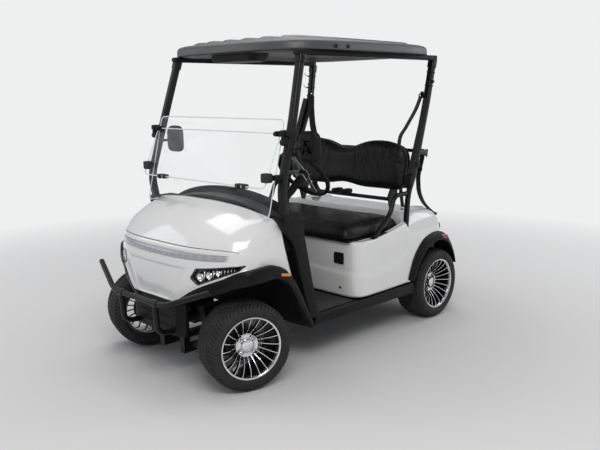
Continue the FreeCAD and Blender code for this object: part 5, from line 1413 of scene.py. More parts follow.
def makePodDetails():
    # The charge port with its raised ring and hinge, the round button, and the tail lamps.
    (y0, y1), (z0, z1) = mm * np.array(pod["port"])
    plate = slab(rounded([(y0, z0), (y1, z0), (y1, z1), (y0, z1)], 0.010, 6), -0.034, -0.0235, "YZ", 0.0028, 4)
    centre = (-0.0240, (y0 + y1) / 2, (z0 + z1) / 2 - 0.003)
    turned = [lathe(mm * np.array(pod[key]), 40, (1, 0, 0), centre) for key in ("portRing", "portDish")]
    hinge = roundBar(np.array([(-0.0225, y, z1 - 0.006) for y in (y0 + 0.016, y1 - 0.016)]), 0.0038, 14)
    piece("chargePort", [plate, hinge] + turned, "blackPlastic", ["charge_port"])
    y, z = mm * np.array(pod["button"])
    piece("podButton", disc((1, 0, 0), (-0.0235, y, z), 0.0075, 0.005, 0.0015), "blackPlastic")
    last = len(pod["stations"]) - 1
    for name, key, material, slot, stands, thick in (
            ("tailLamps", "lamp", "red", "red_lens", ["tail_lights"], 0.003),
            ("tailLampBeds", "bed", "blackPlastic", "black_plastic", (), 0.002)):
        rows, columns, proud = pod[key]
        patches = [raisedPatch(podWhole, rows, last + way * np.array(columns), -proud * way) for way in (1, -1)]
        piece(name, [outward(dict(grid=grid), podCentre) for grid in patches], material, stands, sharp=35,
              thick=thick, out=False)


def makeRearFlares():
    # Bands over the rear arches with a lip, a liner behind them that stands a little further
    # out from the axle inside, and red reflectors set in, leaned with the band's face.
    stations, axle = rearFlare["stations"], np.array(rearFlare["axle"])
    band = dict(grid=bandGrid(stations, np.tile((0.0, -1.0, 0.0), (len(stations), 1)), 130, 0.005))
    edge = spline(stations[:, 1], 90)
    flat = np.full(len(edge), 1.0)
    liner = np.stack([np.column_stack([edge[:, 0], flat * y, edge[:, 2]]) for y in rearFlare["liner"]], axis=1)
    away = unit(liner[..., ::2] - axle)
    liner[..., ::2] += away * np.array(rearFlare["linerOut"])[None, :, None]
    band = outward(band, (axle[0], 0.35, axle[1]))
    liner = outward(dict(grid=liner), (axle[0], 0.5, axle[1]))
    liner["flip"] = not liner["flip"]
    piece("rearFlares", pair(band, liner), "satinBlack", ["rear_flares"], sharp=50, out=False)
    patch = slab(rounded(mm * np.array(rearFlare["reflector"]), 0.007, 6), 0.582, 0.6045, "XZ", 0.004, 5)
    y, z = patch["grid"][..., 1], patch["grid"][..., 2]
    patch["grid"][..., 1] = y - (z - z.mean() + 0.008) * 0.42 * (y > 0.59)
    piece("rearReflectors", pair(patch), "red", sharp=60)


makePod()
makePodWalls()
makePodDetails()
makeRearFlares()
print("rear body made")


# Seat

seat = dict(
    plan=((-0.531, 0.512), (-0.480, 0.514), (-0.030, 0.514), (0.008, 0.470)), planRadius=0.060,
    low=0.6604, high=0.750,
    # Distance in from the plan and height share, from the underside's middle up and over.
    section=((0.20, 0.0), (0.06, 0.0), (0.022, 0.015), (0.006, 0.12), (0.0005, 0.30), (0.000, 0.48), (0.004, 0.64),
             (0.014, 0.78), (0.032, 0.885), (0.060, 0.945), (0.110, 0.975), (0.20, 0.985)),
    start=0.006, crown=0.004, voxel=0.0076, pressure=4.0, frames=20, cap=0.012,
    creases=((-0.175, 0.0016), (0.175, 0.0016)), creaseWide=0.0042, rimSeam=(0.016, 0.0032, 0.0018),
)
backrest = dict(
    outline=mm * np.array([
        (0, 910), (60, 905), (130, 894), (205, 889), (300, 890), (400, 893), (470, 899), (505, 915), (519, 945),
        (521, 1020), (519, 1100), (508, 1150), (480, 1189), (430, 1214), (360, 1230), (280, 1235), (200, 1228),
        (130, 1210), (70, 1190), (0, 1180),
    ]),
    x=-0.578, low=0.895, lean=radians(5), half=0.042, cap=0.010, middle=1.06,
    # The board behind: its rings drawn in from the outline, and their depth
    board=((0.016, -0.0428), (0.0135, -0.0445), (0.0135, -0.0500), (0.016, -0.0525), (0.05, -0.0528)),
    section=((0.16, 0.90), (0.10, 0.97), (0.060, 1.0), (0.030, 0.93), (0.012, 0.72), (0.002, 0.40), (0.0, 0.1),
             (0.002, -0.35), (0.010, -0.70), (0.024, -0.93), (0.045, -0.985), (0.12, -1.0)),
    pitch=0.066, slope=0.45, fields=((0.118, 0.440), (0.926, 1.205)), voxel=0.0062, sew=0.0030, sewWide=0.0026,
)


def cushionForm(outline, section, place):
    # Rings of an outline drawn in by each distance of a section, placed by (ring, value).
    rings = [place(drawnIn(outline, draw), share) for draw, share in section]
    return dict(grid=np.stack(rings), wrapV=True, caps=True)


def padding(item, voxel, cap, free, name):
    # A copy of the mesh is remeshed and blown up as cloth by its pressure, without gravity; each
    # point moves by at most the cap, less where it rests on something, and the result is kept.
    remesh = item.modifiers.new("remesh", "REMESH")
    remesh.mode, remesh.voxel_size, remesh.use_smooth_shade = "VOXEL", voxel, True
    fixed(item)
    ease = item.modifiers.new("ease", "SMOOTH")
    ease.factor, ease.iterations = 0.5, 6
    fixed(item)
    count = len(item.data.vertices)
    before = np.empty(count * 3)
    item.data.vertices.foreach_get("co", before)
    before = before.reshape(-1, 3)
    swell = item.modifiers.new("swell", "CLOTH")
    cloth = swell.settings
    cloth.quality, cloth.mass, cloth.air_damping = 5, 0.3, 1.0
    cloth.tension_stiffness = cloth.compression_stiffness = 25
    cloth.shear_stiffness, cloth.bending_stiffness = 12, 1.5
    cloth.use_pressure, cloth.uniform_pressure_force = True, seat["pressure"]
    cloth.effector_weights.gravity = 0
    swell.collision_settings.use_collision = False
    swell.point_cache.frame_start, swell.point_cache.frame_end = 1, seat["frames"]
    for step in range(1, seat["frames"] + 1):
        bpy.context.scene.frame_set(step)
    seen = item.evaluated_get(bpy.context.evaluated_depsgraph_get())
    after = np.empty(count * 3)
    seen.to_mesh().vertices.foreach_get("co", after)
    seen.to_mesh_clear()
    item.modifiers.clear()
    bpy.context.scene.frame_set(1)
    push = after.reshape(-1, 3) - before
    length = np.linalg.norm(push, axis=1, keepdims=True)
    push *= cap * np.tanh(length / cap) / np.maximum(length, 1e-9)
    before = before + push * free(before)[:, None]
    item.data.vertices.foreach_set("co", before.ravel())
    finer = item.modifiers.new("finer", "SUBSURF")
    finer.levels = finer.render_levels = 1
    fixed(item)
    print(name, "padded,", len(item.data.polygons), "faces")


def readPoints(item):
    # The mesh's points and the unit normals at them.
    points = np.empty(len(item.data.vertices) * 3)
    item.data.vertices.foreach_get("co", points)
    facing = np.empty(len(item.data.vertices) * 3)
    item.data.vertex_normals.foreach_get("vector", facing)
    return points.reshape(-1, 3), facing.reshape(-1, 3)


def writePoints(item, points):
    # The mesh's points set anew, its shading smooth all over.
    item.data.vertices.foreach_set("co", points.ravel())
    item.data.update()
    finishMesh(item.data, 180)


def makeSeatCushion():
    # The bench: a crowned slab with rounded front corners and a soft front roll, padded, then two
    # sewn creases across it and a pressed seam round its lower edge.
    half = np.array(seat["plan"])
    outline = np.concatenate([half, half[::-1] * np.array([1, -1])])
    outline = evenly(rounded(anticlockwise(outline), seat["planRadius"], 10), 260, True)
    low, high = seat["low"], seat["high"] - seat["start"]

    def place(flat, share):
        # The ring at its share of the height, crowned over the middle as one less y squared.
        crown = seat["crown"] * (1 - np.clip(np.abs(flat[:, 1]) / 0.5, 0, 1) ** 2) * (share > 0.9)
        return atZ(flat, low + (high - low) * share + crown - seat["crown"])

    form = cushionForm(drawnIn(outline, seat["start"] * 0.6), seat["section"], place)
    item = piece("seatCushion", form, "vinyl", ["seat_cushion"], "seat_lid", sharp=180)
    padding(item, seat["voxel"], seat["cap"], lambda p: smooth(p[:, 2], low + 0.006, low + 0.05), "seat cushion")
    points, facing = readPoints(item)
    for y, deep in seat["creases"]:
        near = np.exp(-((points[:, 1] - y) / seat["creaseWide"]) ** 2) * smooth(points[:, 2], low + 0.02, low + 0.045)
        points -= facing * (near * deep)[:, None]
    up, wide, deep = seat["rimSeam"]
    edgeSeam = np.exp(-((points[:, 2] - (low + up)) / wide) ** 2)
    points -= facing * (edgeSeam * deep)[:, None]
    points[:, 2] = np.clip(points[:, 2], low, seat["high"] + 0.002)
    writePoints(item, points)


def leant(y, z, out):
    # A point of the backrest: its outline's y and z with a depth, leaned back about the lower edge.
    rise, c, s = z - backrest["low"], cos(backrest["lean"]), sin(backrest["lean"])
    return np.stack([backrest["x"] + out * c - rise * s, y, backrest["low"] + rise * c + out * s], axis=-1)


def stitched(y, z):
    # How deep the backrest's sewing sinks: grooves on a lattice of slanted lines in each lobe's
    # field, fading at its edges, and a seam along the field's two sides.
    (y0, y1), (z0, z1) = backrest["fields"]
    side = np.abs(y)
    field = barrier(side, y0 + 0.004, y1 - 0.004, 0.006) * barrier(z, z0 + 0.02, z1, 0.03)
    groove = np.zeros_like(y)
    for sign in (1, -1):
        place = (side + sign * (z - backrest["middle"]) * backrest["slope"]) / backrest["pitch"]
        away = np.abs(place - np.round(place)) * backrest["pitch"] / np.hypot(1, backrest["slope"])
        here = 1.0 if sign > 0 else smooth(z, 1.085, 1.115)
        groove = np.maximum(groove, here * np.exp(-(away / backrest["sewWide"]) ** 2))
        groove = np.maximum(groove, here * 0.4 * (1 - smooth(away, 0.0, 0.018)))
    seams = sum(np.exp(-((side - line) / 0.0028) ** 2) for line in (y0, y1))
    seams = seams * barrier(z, z0 - 0.02, z1 + 0.03, 0.02)
    return backrest["sew"] * np.clip(groove * field + seams * 0.9, 0, 1)


def makeBackrest():
    # Two lobes of one cushion, padded, with the sewing pressed into the front; a board behind it.
    half = backrest["outline"]
    outline = np.concatenate([half, half[-2:0:-1] * np.array([-1, 1])])
    outline = evenly(spline(outline, 400, True), 300, True)
    outline = drawnIn(anticlockwise(outline), 0.004)

    def place(flat, share):
        # The ring at its share of the half thickness, on the leaned backrest.
        return leant(flat[:, 0], flat[:, 1], np.full(len(flat), (backrest["half"] - 0.005) * share))

    form = cushionForm(outline, backrest["section"], place)
    item = piece("backrestCushion", form, "vinyl", ["backrest_cushion"], sharp=180)

    def depth(p):
        # X with the cushion's lean taken out, which is zero at its middle height.
        return p[:, 0] + (p[:, 2] - backrest["middle"]) * np.tan(backrest["lean"])

    back = leant(np.zeros(1), np.array([backrest["middle"]]), np.array([-backrest["half"]]))[0, 0]
    padding(item, backrest["voxel"], backrest["cap"], lambda p: smooth(depth(p), back + 0.004, back + 0.03),
            "backrest")
    points, facing = readPoints(item)
    front = smooth(facing[:, 0], 0.45, 0.8)
    points -= facing * (stitched(points[:, 1], points[:, 2]) * front)[:, None]
    rim = np.exp(-((depth(points) - (backrest["x"] - 0.0144)) / 0.0024) ** 2)
    points -= facing * (rim * (1 - front) * 0.0016)[:, None]
    writePoints(item, points)
    board = []
    for draw, out in backrest["board"]:
        flat = drawnIn(outline, draw)
        board.append(leant(flat[:, 0], flat[:, 1], np.full(len(flat), out)))
    piece("backrestBoard", dict(grid=np.stack(board), wrapV=True, caps=True), "blackPlastic",
          ["backrest_panel"])


# The belts' paths and ring, and the outlines of reel, buckle and button in millimetres
belts = dict(
    long=((-770, 490, 1506), (-745, 468, 1420), (-708, 424, 1312), (-688, 388, 1236), (-688, 380, 1120),
          (-691, 384, 1000), (-697, 396, 870), (-702, 408, 772)),
    side=((-757, 541, 1496), (-744, 545, 1452), (-690, 546.5, 1308), (-630, 547.5, 1150), (-580, 548, 1016)),
    wide=0.0455, sideWide=0.044, thick=0.0016, ring=(-768, 498, 1512), ringHalf=(0.027, 0.014),
    reel=((-577, 930), (-547, 926), (-547, 1004), (-560, 1011.5), (-577, 1006)),
    buckle=((-596, 22), (-596, 62), (-560, 72), (-512, 70), (-500, 42), (-512, 14), (-560, 12)),
    button=((-530, 30), (-530, 50), (-514, 48), (-514, 32)),
)


def makeBelts():
    # On each side: a belt from the ring on the strut down behind the seat, one from the reel up to
    # the ring, the ring (an ellipse) and its plate, the reel's cover, and a buckle on the bar.
    path = evenly(spline(mm * np.array(belts["long"]), 200), 110)
    parts = [webbing(path, belts["wide"], belts["thick"], (0.39, 0.92, 0))]
    path = evenly(spline(mm * np.array(belts["side"]), 120), 80)
    parts.append(webbing(path, belts["sideWide"], belts["thick"], (0, 1, 0)))
    a = np.linspace(0, 2 * pi, 44, endpoint=False)
    way, up = unit(np.array([0.25, 0.95, 0.1])), np.array([0.0, -0.1, 0.995])
    wide, tall = belts["ringHalf"]
    loop = mm * np.array(belts["ring"]) + wide * np.outer(np.cos(a), way) + tall * np.outer(np.sin(a), up)
    parts.append(dict(roundBar(loop, 0.0042, 12, (1, 0, 0), True), tone=1))
    parts += boxes([(-790, -756, 495.5, 500.5, 1500, 1538, 2)], 1)
    parts.append(disc((0, -1, 0), (-0.772, 0.496, 1.528), 0.009, 0.006, tone=2))
    reel, buckle, button = (rounded(mm * np.array(belts[key]), bend, steps) for key, bend, steps in
                            (("reel", 0.006, 5), ("buckle", 0.016, 6), ("button", 0.004, 4)))
    parts += [dict(slab(reel, 0.5705, 0.5765, "XZ", 0.003, 4), tone=1),
              dict(slab(reel, 0.527, 0.5695, "XZ", 0.004, 4), tone=1),
              dict(slab(buckle, 0.8490, 0.8800, "XY", 0.011, 6), tone=1),
              dict(slab(button, 0.876, 0.8815, "XY", 0.0015), tone=3)]
    piece("seatBelts", pair(*parts), "webbing blackPlastic plainSteel red", ["seat_belts"], sharp=45)


makeSeatCushion()
makeBackrest()
makeBelts()
print("seat made")


# Wheels

tyre = dict(
    steps=768, blocks=64, depth=0.0055,
    profile=((0.060, 0.157), (0.078, 0.157), (0.088, 0.159), (0.0935, 0.163), (0.0965, 0.170), (0.0985, 0.176),
             (0.1022, 0.1785), (0.1032, 0.184), (0.1038, 0.192), (0.1036, 0.200), (0.1026, 0.207), (0.1008, 0.2125),
             (0.0995, 0.2165), (0.0975, 0.2205), (0.0945, 0.2245), (0.0900, 0.2285), (0.0850, 0.2318),
             (0.0790, 0.2342), (0.0720, 0.2358), (0.0640, 0.2367), (0.0560, 0.2372), (0.0520, 0.2374),
             (0.0480, 0.2375), (0.0400, 0.2377), (0.0310, 0.2378), (0.0220, 0.2379), (0.0180, 0.2379),
             (0.0140, 0.238), (0.0070, 0.238), (0.0, 0.238)),
)
rim = dict(
    blades=20, bladeWide=0.0046, bladeBack=0.0075, bladeDeep=0.020, bladeStep=0.0012, bladeCrown=0.0005,
    outer=0.159, inner=0.064,
    faceOuter=0.089, faceInner=0.032, sweep=1.7, swirl=radians(3),
    nuts=4, nutRing=0.0475, weight=(0.024, 0.016, 0.004),
    nut=((0, 0), (0, 0.0098), (0.011, 0.0098), (0.014, 0.0086), (0.0175, 0.0065), (0.019, 0.003), (0.019, 0)),
    well=((-0.004, 0), (-0.004, 0.0135), (0.0080, 0.0145), (0.0092, 0.0160)),
)
wheels = {
    "front_left": dict(out=(sin(radians(18)), cos(radians(18)), 0), weight=-48),
    "front_right": dict(out=(-sin(radians(18)), -cos(radians(18)), 0), weight=150),
    "rear_left": dict(out=(0, 1, 0), weight=-40),
    "rear_right": dict(out=(0, -1, 0), weight=70),
}


def tyreGrid():
    # The section carried round the axle; its tread is sunk in two rings of grooves and in
    # slanted slots between the blocks, which run over the shoulders and stop in the sidewall.
    half = np.array(tyre["profile"])
    section = np.concatenate([half, half[-2::-1] * np.array([-1, 1])])
    line = spline(section, len(section) * 2 - 1)
    a = np.linspace(0, 2 * pi, tyre["steps"], endpoint=False)[:, None]
    w, r = line[None, :, 0] + 0 * a, line[None, :, 1] + 0 * a
    turn = a * tyre["blocks"] / (2 * pi)
    side = np.abs(w)
    shoulder = turn + 6.0 * (side - 0.06) * 4
    slotOuter = 1 - smooth(np.abs((shoulder % 1) - 0.5), 0.13, 0.21)
    slotOuter = slotOuter * smooth(side, 0.050, 0.054) * smooth(r, 0.2145, 0.2225)
    chevron = turn + 0.25 + side * 26
    slotInner = 1 - smooth(np.abs((chevron % 1) - 0.5), 0.07, 0.14)
    slotInner = slotInner * (1 - smooth(side, 0.046, 0.050)) * smooth(side, 0.003, 0.007)
    rings = np.exp(-((side - 0.0505) / 0.0032) ** 2) + np.exp(-((side - 0.018) / 0.0026) ** 2)
    sunk = tyre["depth"] * np.clip(slotOuter + 0.8 * slotInner + rings * (r > 0.23), 0, 1)
    scale = 1 - sunk / r
    across = w * (1 - sunk * 0.4 / np.maximum(side, 0.02) * (side > 0.085))
    return np.stack([r * scale * np.cos(a), across, r * scale * np.sin(a)], axis=2)


def bladeFace(share):
    # Where a blade's bright face lies: radius runs evenly, and the way out from the wheel's
    # middle falls from the rim to the hub as a power of the distance from the rim.
    r = rim["inner"] + (rim["outer"] - rim["inner"]) * share
    w = rim["faceOuter"] - (rim["faceOuter"] - rim["faceInner"]) * (1 - share) ** rim["sweep"]
    return r, w


def bladeParts():
    # One blade is a bright strip over a dark web that widens backwards; it is copied round.
    share = np.linspace(0, 1, 26)
    r, w = bladeFace(share)
    wide = rim["bladeWide"] / 2 * (0.78 + 0.22 * share)
    back = rim["bladeBack"] / 2 * (0.8 + 0.3 * share)
    deep = rim["bladeDeep"] * (0.55 + 0.45 * share)
    low = w - rim["bladeStep"]
    dark, bright = (np.stack([np.stack([side, out, r], -1) for side, out in edges], axis=1) for edges in (
        ((-wide, low), (-back, w - deep), (back, w - deep), (wide, low)),
        ((-wide, low), (-wide * 0.85, w), (0 * wide, w + rim["bladeCrown"]), (wide * 0.85, w), (wide, low))))
    uv = np.stack([np.broadcast_to(r[:, None], bright.shape[:2]), np.zeros(bright.shape[:2])], axis=2)
    parts = []
    for k in range(rim["blades"]):
        turn = 2 * pi * k / rim["blades"] + rim["swirl"] * (share[:, None] - 0.5)
        for grid, extra in ((dark, {}), (bright, dict(tone=1, uv=uv))):
            side, out, reach = np.moveaxis(grid, -1, 0)
            spun = np.stack([reach * np.cos(turn) - side * np.sin(turn), out,
                             reach * np.sin(turn) + side * np.cos(turn)], axis=2)
            parts.append(dict(grid=spun, flip=True, **extra))
    return parts


def ringPart(profile, tone, steps=96):
    # A profile turned about the axle; its surface coordinate is the radius.
    part = turnedAbout(profile, steps)
    r = np.array(profile)[:, 1]
    uv = np.stack([np.broadcast_to(r, (steps, len(r))), np.zeros((steps, len(r)))], axis=2)
    return dict(part, tone=tone, uv=uv)


def nutPart(angle):
    # A six-sided chrome nut with a rounded tip, standing in its well.
    r, w = rim["nutRing"], rim["faceInner"] - 0.006
    centre = np.array([r * cos(angle), w, r * sin(angle)])
    return [lathe(rim["nut"], 6, (0, 1, 0), centre, 2, angle), lathe(rim["well"], 28, (0, 1, 0), centre)]


def rimParts():
    # Barrel and back in black, a polished outer ring, the blades, and the hub: a bright cone with
    # wells for its nuts round a raised cap.
    barrel = ringPart([(-0.098, 0.161), (-0.098, 0.169), (-0.095, 0.169), (-0.094, 0.158), (-0.086, 0.1545),
                       (-0.02, 0.1515), (0.02, 0.1515), (0.070, 0.1530), (0.083, 0.1555), (0.087, 0.1580)], 0)
    lip = ringPart([(0.087, 0.1580), (0.0900, 0.1590), (0.0945, 0.1600), (0.0968, 0.1625), (0.0980, 0.1660),
                    (0.0974, 0.1685), (0.0955, 0.1695), (0.0925, 0.1690), (0.0920, 0.161)], 1)
    w = rim["faceInner"]
    cone = ringPart([(w - 0.016, 0.066), (w - 0.004, 0.0655), (w + 0.0005, 0.064), (w - 0.0015, 0.060),
                     (w - 0.003, 0.050), (w - 0.001, 0.040), (w + 0.002, 0.0355)], 2)
    cap = ringPart([(w - 0.001, 0.0355), (w + 0.009, 0.0348), (w + 0.0120, 0.0328), (w + 0.0128, 0.0310),
                    (w + 0.0134, 0.0290), (w + 0.0158, 0.021), (w + 0.0172, 0.011), (w + 0.0176, 0.0)], 2)
    back = ringPart([(w - 0.012, 0.0), (w - 0.012, 0.066), (w - 0.016, 0.066)], 0)
    parts = [barrel, lip, cone, cap, back] + bladeParts()
    for k in range(rim["nuts"]):
        parts += nutPart(2 * pi * (k + 0.5) / rim["nuts"])
    return parts


def weightPart(angle):
    # A balance weight stuck inside the barrel.
    wide, long, thick = rim["weight"]
    part = box((0.1512 - thick, 0.1512), (0.030, 0.030 + wide), (-long / 2, long / 2), 0.001)
    x, y, z = np.moveaxis(part["grid"], -1, 0)
    a = radians(angle)
    return dict(part, grid=np.stack([x * cos(a) - z * sin(a), y, x * sin(a) + z * cos(a)], axis=-1), tone=3)


def makeWheels():
    # The same tyre and rim at each corner, laid along its axle; only the weight's place differs.
    tread = dict(grid=tyreGrid(), wrapU=True, flip=True)
    shared = rimParts()
    for name, wheel in wheels.items():
        centre = np.mean(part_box(name + "_tyre"), axis=0)
        body = name + "_wheel"
        piece(name + "_tyreTread", along(tread, wheel["out"], centre), "tyre", [name + "_tyre"], body,
              sharp=38, out=False)
        parts = [along(part, wheel["out"], centre) for part in shared + [weightPart(wheel["weight"])]]
        piece(name + "_rimFace", parts, "rimBlack machined chrome plainSteel", [name + "_rim"], body,
              sharp=32, out=False)


makeWheels()
print("wheels made")


# Bars and bumpers

guard = dict(
    bar=((1.050, 0.506, 0.573), (1.139, 0.234, 0.469), (1.139, -0.234, 0.469), (1.050, -0.506, 0.573)),
    leg=((1.138, 0.160, 0.466), (1.128, 0.160, 0.300), (1.020, 0.160, 0.290)), radius=0.0155, bend=(0.060, 0.050),
    clamp=((-0.024, 0.0158), (-0.022, 0.0195), (0.022, 0.0195), (0.024, 0.0158)),
)
bumpers = dict(
    front=((1.0285, 0.185), (1.0048, 0.240), (0.9915, 0.240), (1.0145, 0.178)), frontZ=(0.263, 0.461),
    rear=((-1.1545, 0.252), (-1.1545, 0.398), (-1.1205, 0.398), (-1.1205, 0.252)), rearHalf=0.5195,
)
rack = dict(
    path=((-0.640, 0.541, 1.147), (-0.794, 0.541, 1.147), (-0.794, -0.541, 1.147), (-0.640, -0.541, 1.147)),
    radius=0.0122, sleeve=((-0.016, 0.0123), (-0.014, 0.0150), (0.014, 0.0150), (0.016, 0.0123)),
    hanger=((-0.846, 1.158), (-0.742, 1.158), (-0.742, 1.128), (-0.800, 1.126), (-0.836, 1.100)),
    strap=((-808.3, 480, 1160), (-812, 480, 1147), (-818, 480, 1110), (-801, 480, 1060), (-776, 480, 985),
           (-777, 480, 930), (-787, 480, 876), (-812, 480, 830), (-845, 480, 790), (-900, 480, 748),
           (-978, 480, 700)),
)
seatFrame = dict(
    hoop=((-0.215, 0.543, 0.652), (-0.380, 0.543, 0.780), (-0.425, 0.543, 0.893), (-0.566, 0.543, 0.893)),
    bracket=((-0.600, 0.765), (-0.562, 0.765), (-0.535, 0.860), (-0.640, 1.040), (-0.660, 1.040), (-0.640, 0.860)),
    bolts=((-0.590, 0.835), (-0.628, 0.985), (-0.604, 0.935)),
)


def makeBars():
    # The wrap-round guard with its clamps and feet; the bag rack with its sleeves and straps.
    bar = roundBar(bent(guard["bar"], guard["bend"][0], 120), guard["radius"], 28)
    legs = [roundBar(bent(guard["leg"], guard["bend"][1], 50), guard["radius"] - 0.0003, 24, (0, 1, 0)),
            lathe(guard["clamp"], 28, (0, 1, 0), (1.1387, 0.160, 0.469)),
            disc((-0.302, 0.923, 0.353), (1.0500, 0.5055, 0.5728), 0.0148, 0.003),
            box((1.004, 1.012), (0.130, 0.190), (0.262, 0.322))]
    legs += [disc((1, 0, 0), (1.011, y, z), 0.008, 0.006, 0.0015, 6, 1)
             for y in (0.139, 0.181) for z in (0.272, 0.312)]
    piece("brushGuard", [bar] + pair(*legs), "blackMetal plainSteel", ["brush_guard"])
    rail = roundBar(bent(rack["path"], 0.060, 140), rack["radius"], 24)
    sleeve = lathe(rack["sleeve"], 24, (1, 0, 0), (-0.668, 0.541, 1.147))
    bolt = disc((0, 1, 0), (-0.668, 0.5555, 1.147), 0.006, 0.005, 0.001, 6, 1)
    hanger = slab(rounded(rack["hanger"], 0.010, 5), 0.503, 0.5075, "XZ", 0.0015, 3)
    piece("bagRack", [rail] + pair(sleeve, hanger, bolt), "blackMetal plainSteel", ["bag_rack"])
    belt = webbing(evenly(spline(mm * np.array(rack["strap"]), 200), 100), 0.036, 0.0022, (0, 1, 0))
    turn = np.linspace(0.62 * pi, -0.62 * pi, 20)
    loop = np.column_stack([-0.794 - 0.0146 * np.cos(turn), np.full(20, 0.480), 1.147 + 0.0146 * np.sin(turn)])
    slides = boxes([(-793, -777, 459, 501, 1016, 1040, 3), (-985, -966, 459, 501, 690, 708, 3)], 1)
    over = webbing(loop, 0.0362, 0.0022, (0, 1, 0))
    piece("bagStraps", pair(belt, over, *slides), "webbing blackPlastic", ["bag_straps"], sharp=45)


def makeSeatFrame():
    # Hip restraints, the back bar, its two brackets with their bolts, and the front feet.
    hoop = roundBar(bent(seatFrame["hoop"], 0.045, 80), 0.0148, 24, (0, 1, 0))
    feet = boxes([(-243, -190, 526, 560, 648.2, 654.5, 3), (-556, -205, 532.5, 555.5, 648.2, 672, 5)])
    plate = slab(rounded(seatFrame["bracket"], 0.016, 5), 0.4002, 0.4078, "XZ", 0.0025, 3)
    bolts = [disc((0, 1, 0), (x, 0.4076, z), 0.0075, 0.005, 0.0015, 6, 1) for x, z in seatFrame["bolts"]]
    bar = roundBar(np.linspace((-0.590, -0.402, 0.835), (-0.590, 0.402, 0.835), 40), 0.0128, 24)
    piece("seatFrame", [bar] + pair(hoop, plate, *feet, *bolts), "blackMetal plainSteel",
          ["seat_frame"])


def makeBumpers():
    # The wall behind the guard with its rounded rims and ribs; the rear bumper with its grooves
    # and bolts.
    half = np.array(bumpers["front"])
    outline = rounded(np.concatenate([half, (half * np.array([1, -1]))[::-1]]), 0.010, 5)
    bars = boxes([(1014, 1033.5, -150, 150, z, z + 12, 4) for z in (300, 352, 404)])
    piece("frontBumper", [slab(outline, *bumpers["frontZ"], "XY", 0.006, 5)] + bars, "blackPlastic",
          ["front_bumper"])
    half = bumpers["rearHalf"]
    parts = [slab(rounded(bumpers["rear"], 0.014, 6), -half, half, "XZ", 0.012, 6)]
    parts += boxes([(-1155, -1153, -400, 400, z, z + 10, 1) for z in (292, 320, 348)])
    parts += [disc((-1, 0, 0), (-1.1540, y, 0.325), 0.010, 0.001, 0.0005, 20, 1) for y in (-0.46, 0.46)]
    piece("rearBumper", parts, "blackPlastic satinBlack", ["rear_bumper"])


makeBars()
makeSeatFrame()
makeBumpers()
print("bars and bumpers made")


# Floor, light and camera

stageLook = dict(rings=(0, 2.5, 4, 6, 9, 13, 20, 30), grey=(0.82, 0.815, 0.81), paleFrom=1.5, paleTo=5.0,
                 backdrop=(0.86, 0.865, 0.87))


def makeFloor():
    # A disc: rings of points at growing radii, flat at zero height.
    a = np.linspace(0, 2 * pi, 96, endpoint=False)
    radii = np.array(stageLook["rings"], float)
    grid = np.stack([radii[:, None] * np.cos(a), radii[:, None] * np.sin(a), 0 * radii[:, None] + 0 * a], axis=2)
    mesh = bpy.data.meshes.new("studioFloor")
    mesh.from_pydata(grid.reshape(-1, 3), [], gridFaces(len(radii), 96, False, True, True).tolist())
    floor = bpy.data.objects.new("studioFloor", mesh)
    bpy.context.scene.collection.objects.link(floor)
    tidyMesh(mesh, False)
    # The floor keeps shadows near the cart and fades to the backdrop's colour far out.
    material, tree, shader = blank("paleFloor", Roughness=0.85, Specular_IOR_Level=0.2)
    speck = tones(tree, noise(tree, 140.0, 4.0), (0.3, tuple(0.985 * c for c in stageLook["grey"])),
                  (0.7, stageLook["grey"]))
    feed(shader.inputs["Base Color"], speck)
    reach = tree.nodes.new("ShaderNodeVectorMath")
    reach.operation = "LENGTH"
    feed(reach.inputs[0], tree.nodes.new("ShaderNodeTexCoord").outputs["Object"])
    share = fit(tree, reach.outputs["Value"], 0.0, 1.0, stageLook["paleFrom"], stageLook["paleTo"])
    glow = tree.nodes.new("ShaderNodeEmission")
    glow.inputs["Color"].default_value = (*stageLook["backdrop"], 1)
    mixed(tree, share, shader.outputs["BSDF"], glow.outputs["Emission"], "Material Output")
    mesh.materials.append(material)


def makeWorld():
    # Rays to the camera, mirrored rays and rays through glass see the backdrop; the rest is
    # a soft, weaker light from all round.
    world = bpy.data.worlds.new("studio")
    bpy.context.scene.world = world
    world.use_nodes = True
    tree = world.node_tree
    soft = tree.nodes["Background"]
    soft.inputs["Color"].default_value = (0.93, 0.95, 1.0, 1)
    soft.inputs["Strength"].default_value = 0.34
    shown = tree.nodes.new("ShaderNodeBackground")
    shown.inputs["Color"].default_value = (*stageLook["backdrop"], 1)
    light = tree.nodes.new("ShaderNodeLightPath")
    seen = combine(tree, "MAXIMUM", light.outputs["Is Camera Ray"], light.outputs["Is Transmission Ray"])
    dim = combine(tree, "MULTIPLY", light.outputs["Is Glossy Ray"], 0.30)
    mixed(tree, combine(tree, "MAXIMUM", seen, dim), soft.outputs["Background"], shown.outputs["Background"],
          "World Output")


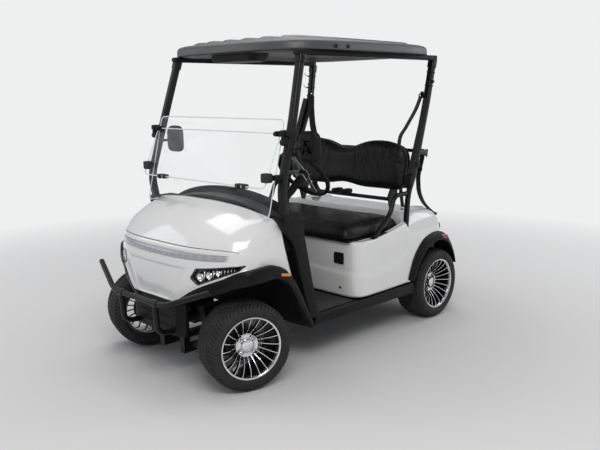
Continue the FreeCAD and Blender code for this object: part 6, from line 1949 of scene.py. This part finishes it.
lamps = {
    "keyPanel": dict(at=(2.2, 2.6, 3.3), to=(0.0, 0.0, 0.7), size=(2.2, 1.2), power=54, colour=(1.0, 0.98, 0.95)),
    "ceilingPanel": dict(at=(-0.2, -0.4, 3.6), to=(0.0, 0.0, 0.8), size=(3.0, 2.0), power=50,
                         colour=(1.0, 0.985, 0.96)),
    "rightFill": dict(at=(2.6, -3.0, 2.4), to=(0.2, 0.0, 0.7), size=(2.0, 2.0), power=15, colour=(0.93, 0.96, 1.0)),
    "rearFill": dict(at=(-3.2, 1.8, 2.4), to=(-0.3, 0.0, 0.7), size=(2.0, 1.6), power=18, colour=(0.95, 0.97, 1.0)),
}


def makeLamps():
    # Soft panels, each turned from its place towards a point.
    for name, lamp in lamps.items():
        light = bpy.data.lights.new(name, "AREA")
        light.shape = "RECTANGLE"
        light.size, light.size_y = lamp["size"]
        light.energy, light.color = lamp["power"], lamp["colour"]
        item = bpy.data.objects.new(name, light)
        bpy.context.scene.collection.objects.link(item)
        back = unit(np.subtract(lamp["at"], lamp["to"]))
        side = unit(np.cross((0, 0, 1), back))
        item.matrix_world = axes(side, np.cross(back, side), back, lamp["at"])


def axes(x, y, z, at):
    # The placement whose columns are three axes and a point.
    grid = np.eye(4)
    grid[:3, 0], grid[:3, 1], grid[:3, 2], grid[:3, 3] = x, y, z, at
    return Matrix(grid.tolist())


cameraView = dict(at=(3.0908, 3.1133, 1.5449), heading=224.0876, pitch=-10.9302, roll=0.6863, focal=689.8, width=600)


def makeCamera():
    # Looks along heading and pitch, rolled about that line; its lens gives the focal length
    # in pixels of the photograph on a 36 mm sensor.
    h, p, r = (radians(cameraView[key]) for key in ("heading", "pitch", "roll"))
    ahead = np.array([cos(p) * cos(h), cos(p) * sin(h), sin(p)])
    right = np.array([sin(h), -cos(h), 0])
    down = np.cross(ahead, right)
    right, down = right * cos(r) + down * sin(r), down * cos(r) - right * sin(r)
    data = bpy.data.cameras.new("photoCamera")
    data.sensor_width = 36
    data.lens = 36 * cameraView["focal"] / cameraView["width"]
    camera = bpy.data.objects.new("photoCamera", data)
    bpy.context.scene.collection.objects.link(camera)
    camera.matrix_world = axes(right, -down, -ahead, cameraView["at"])
    bpy.context.scene.camera = camera


makeFloor()
makeWorld()
makeLamps()
makeCamera()
bpy.context.scene.view_settings.view_transform = "Standard"
print("stage, lamps and camera set")
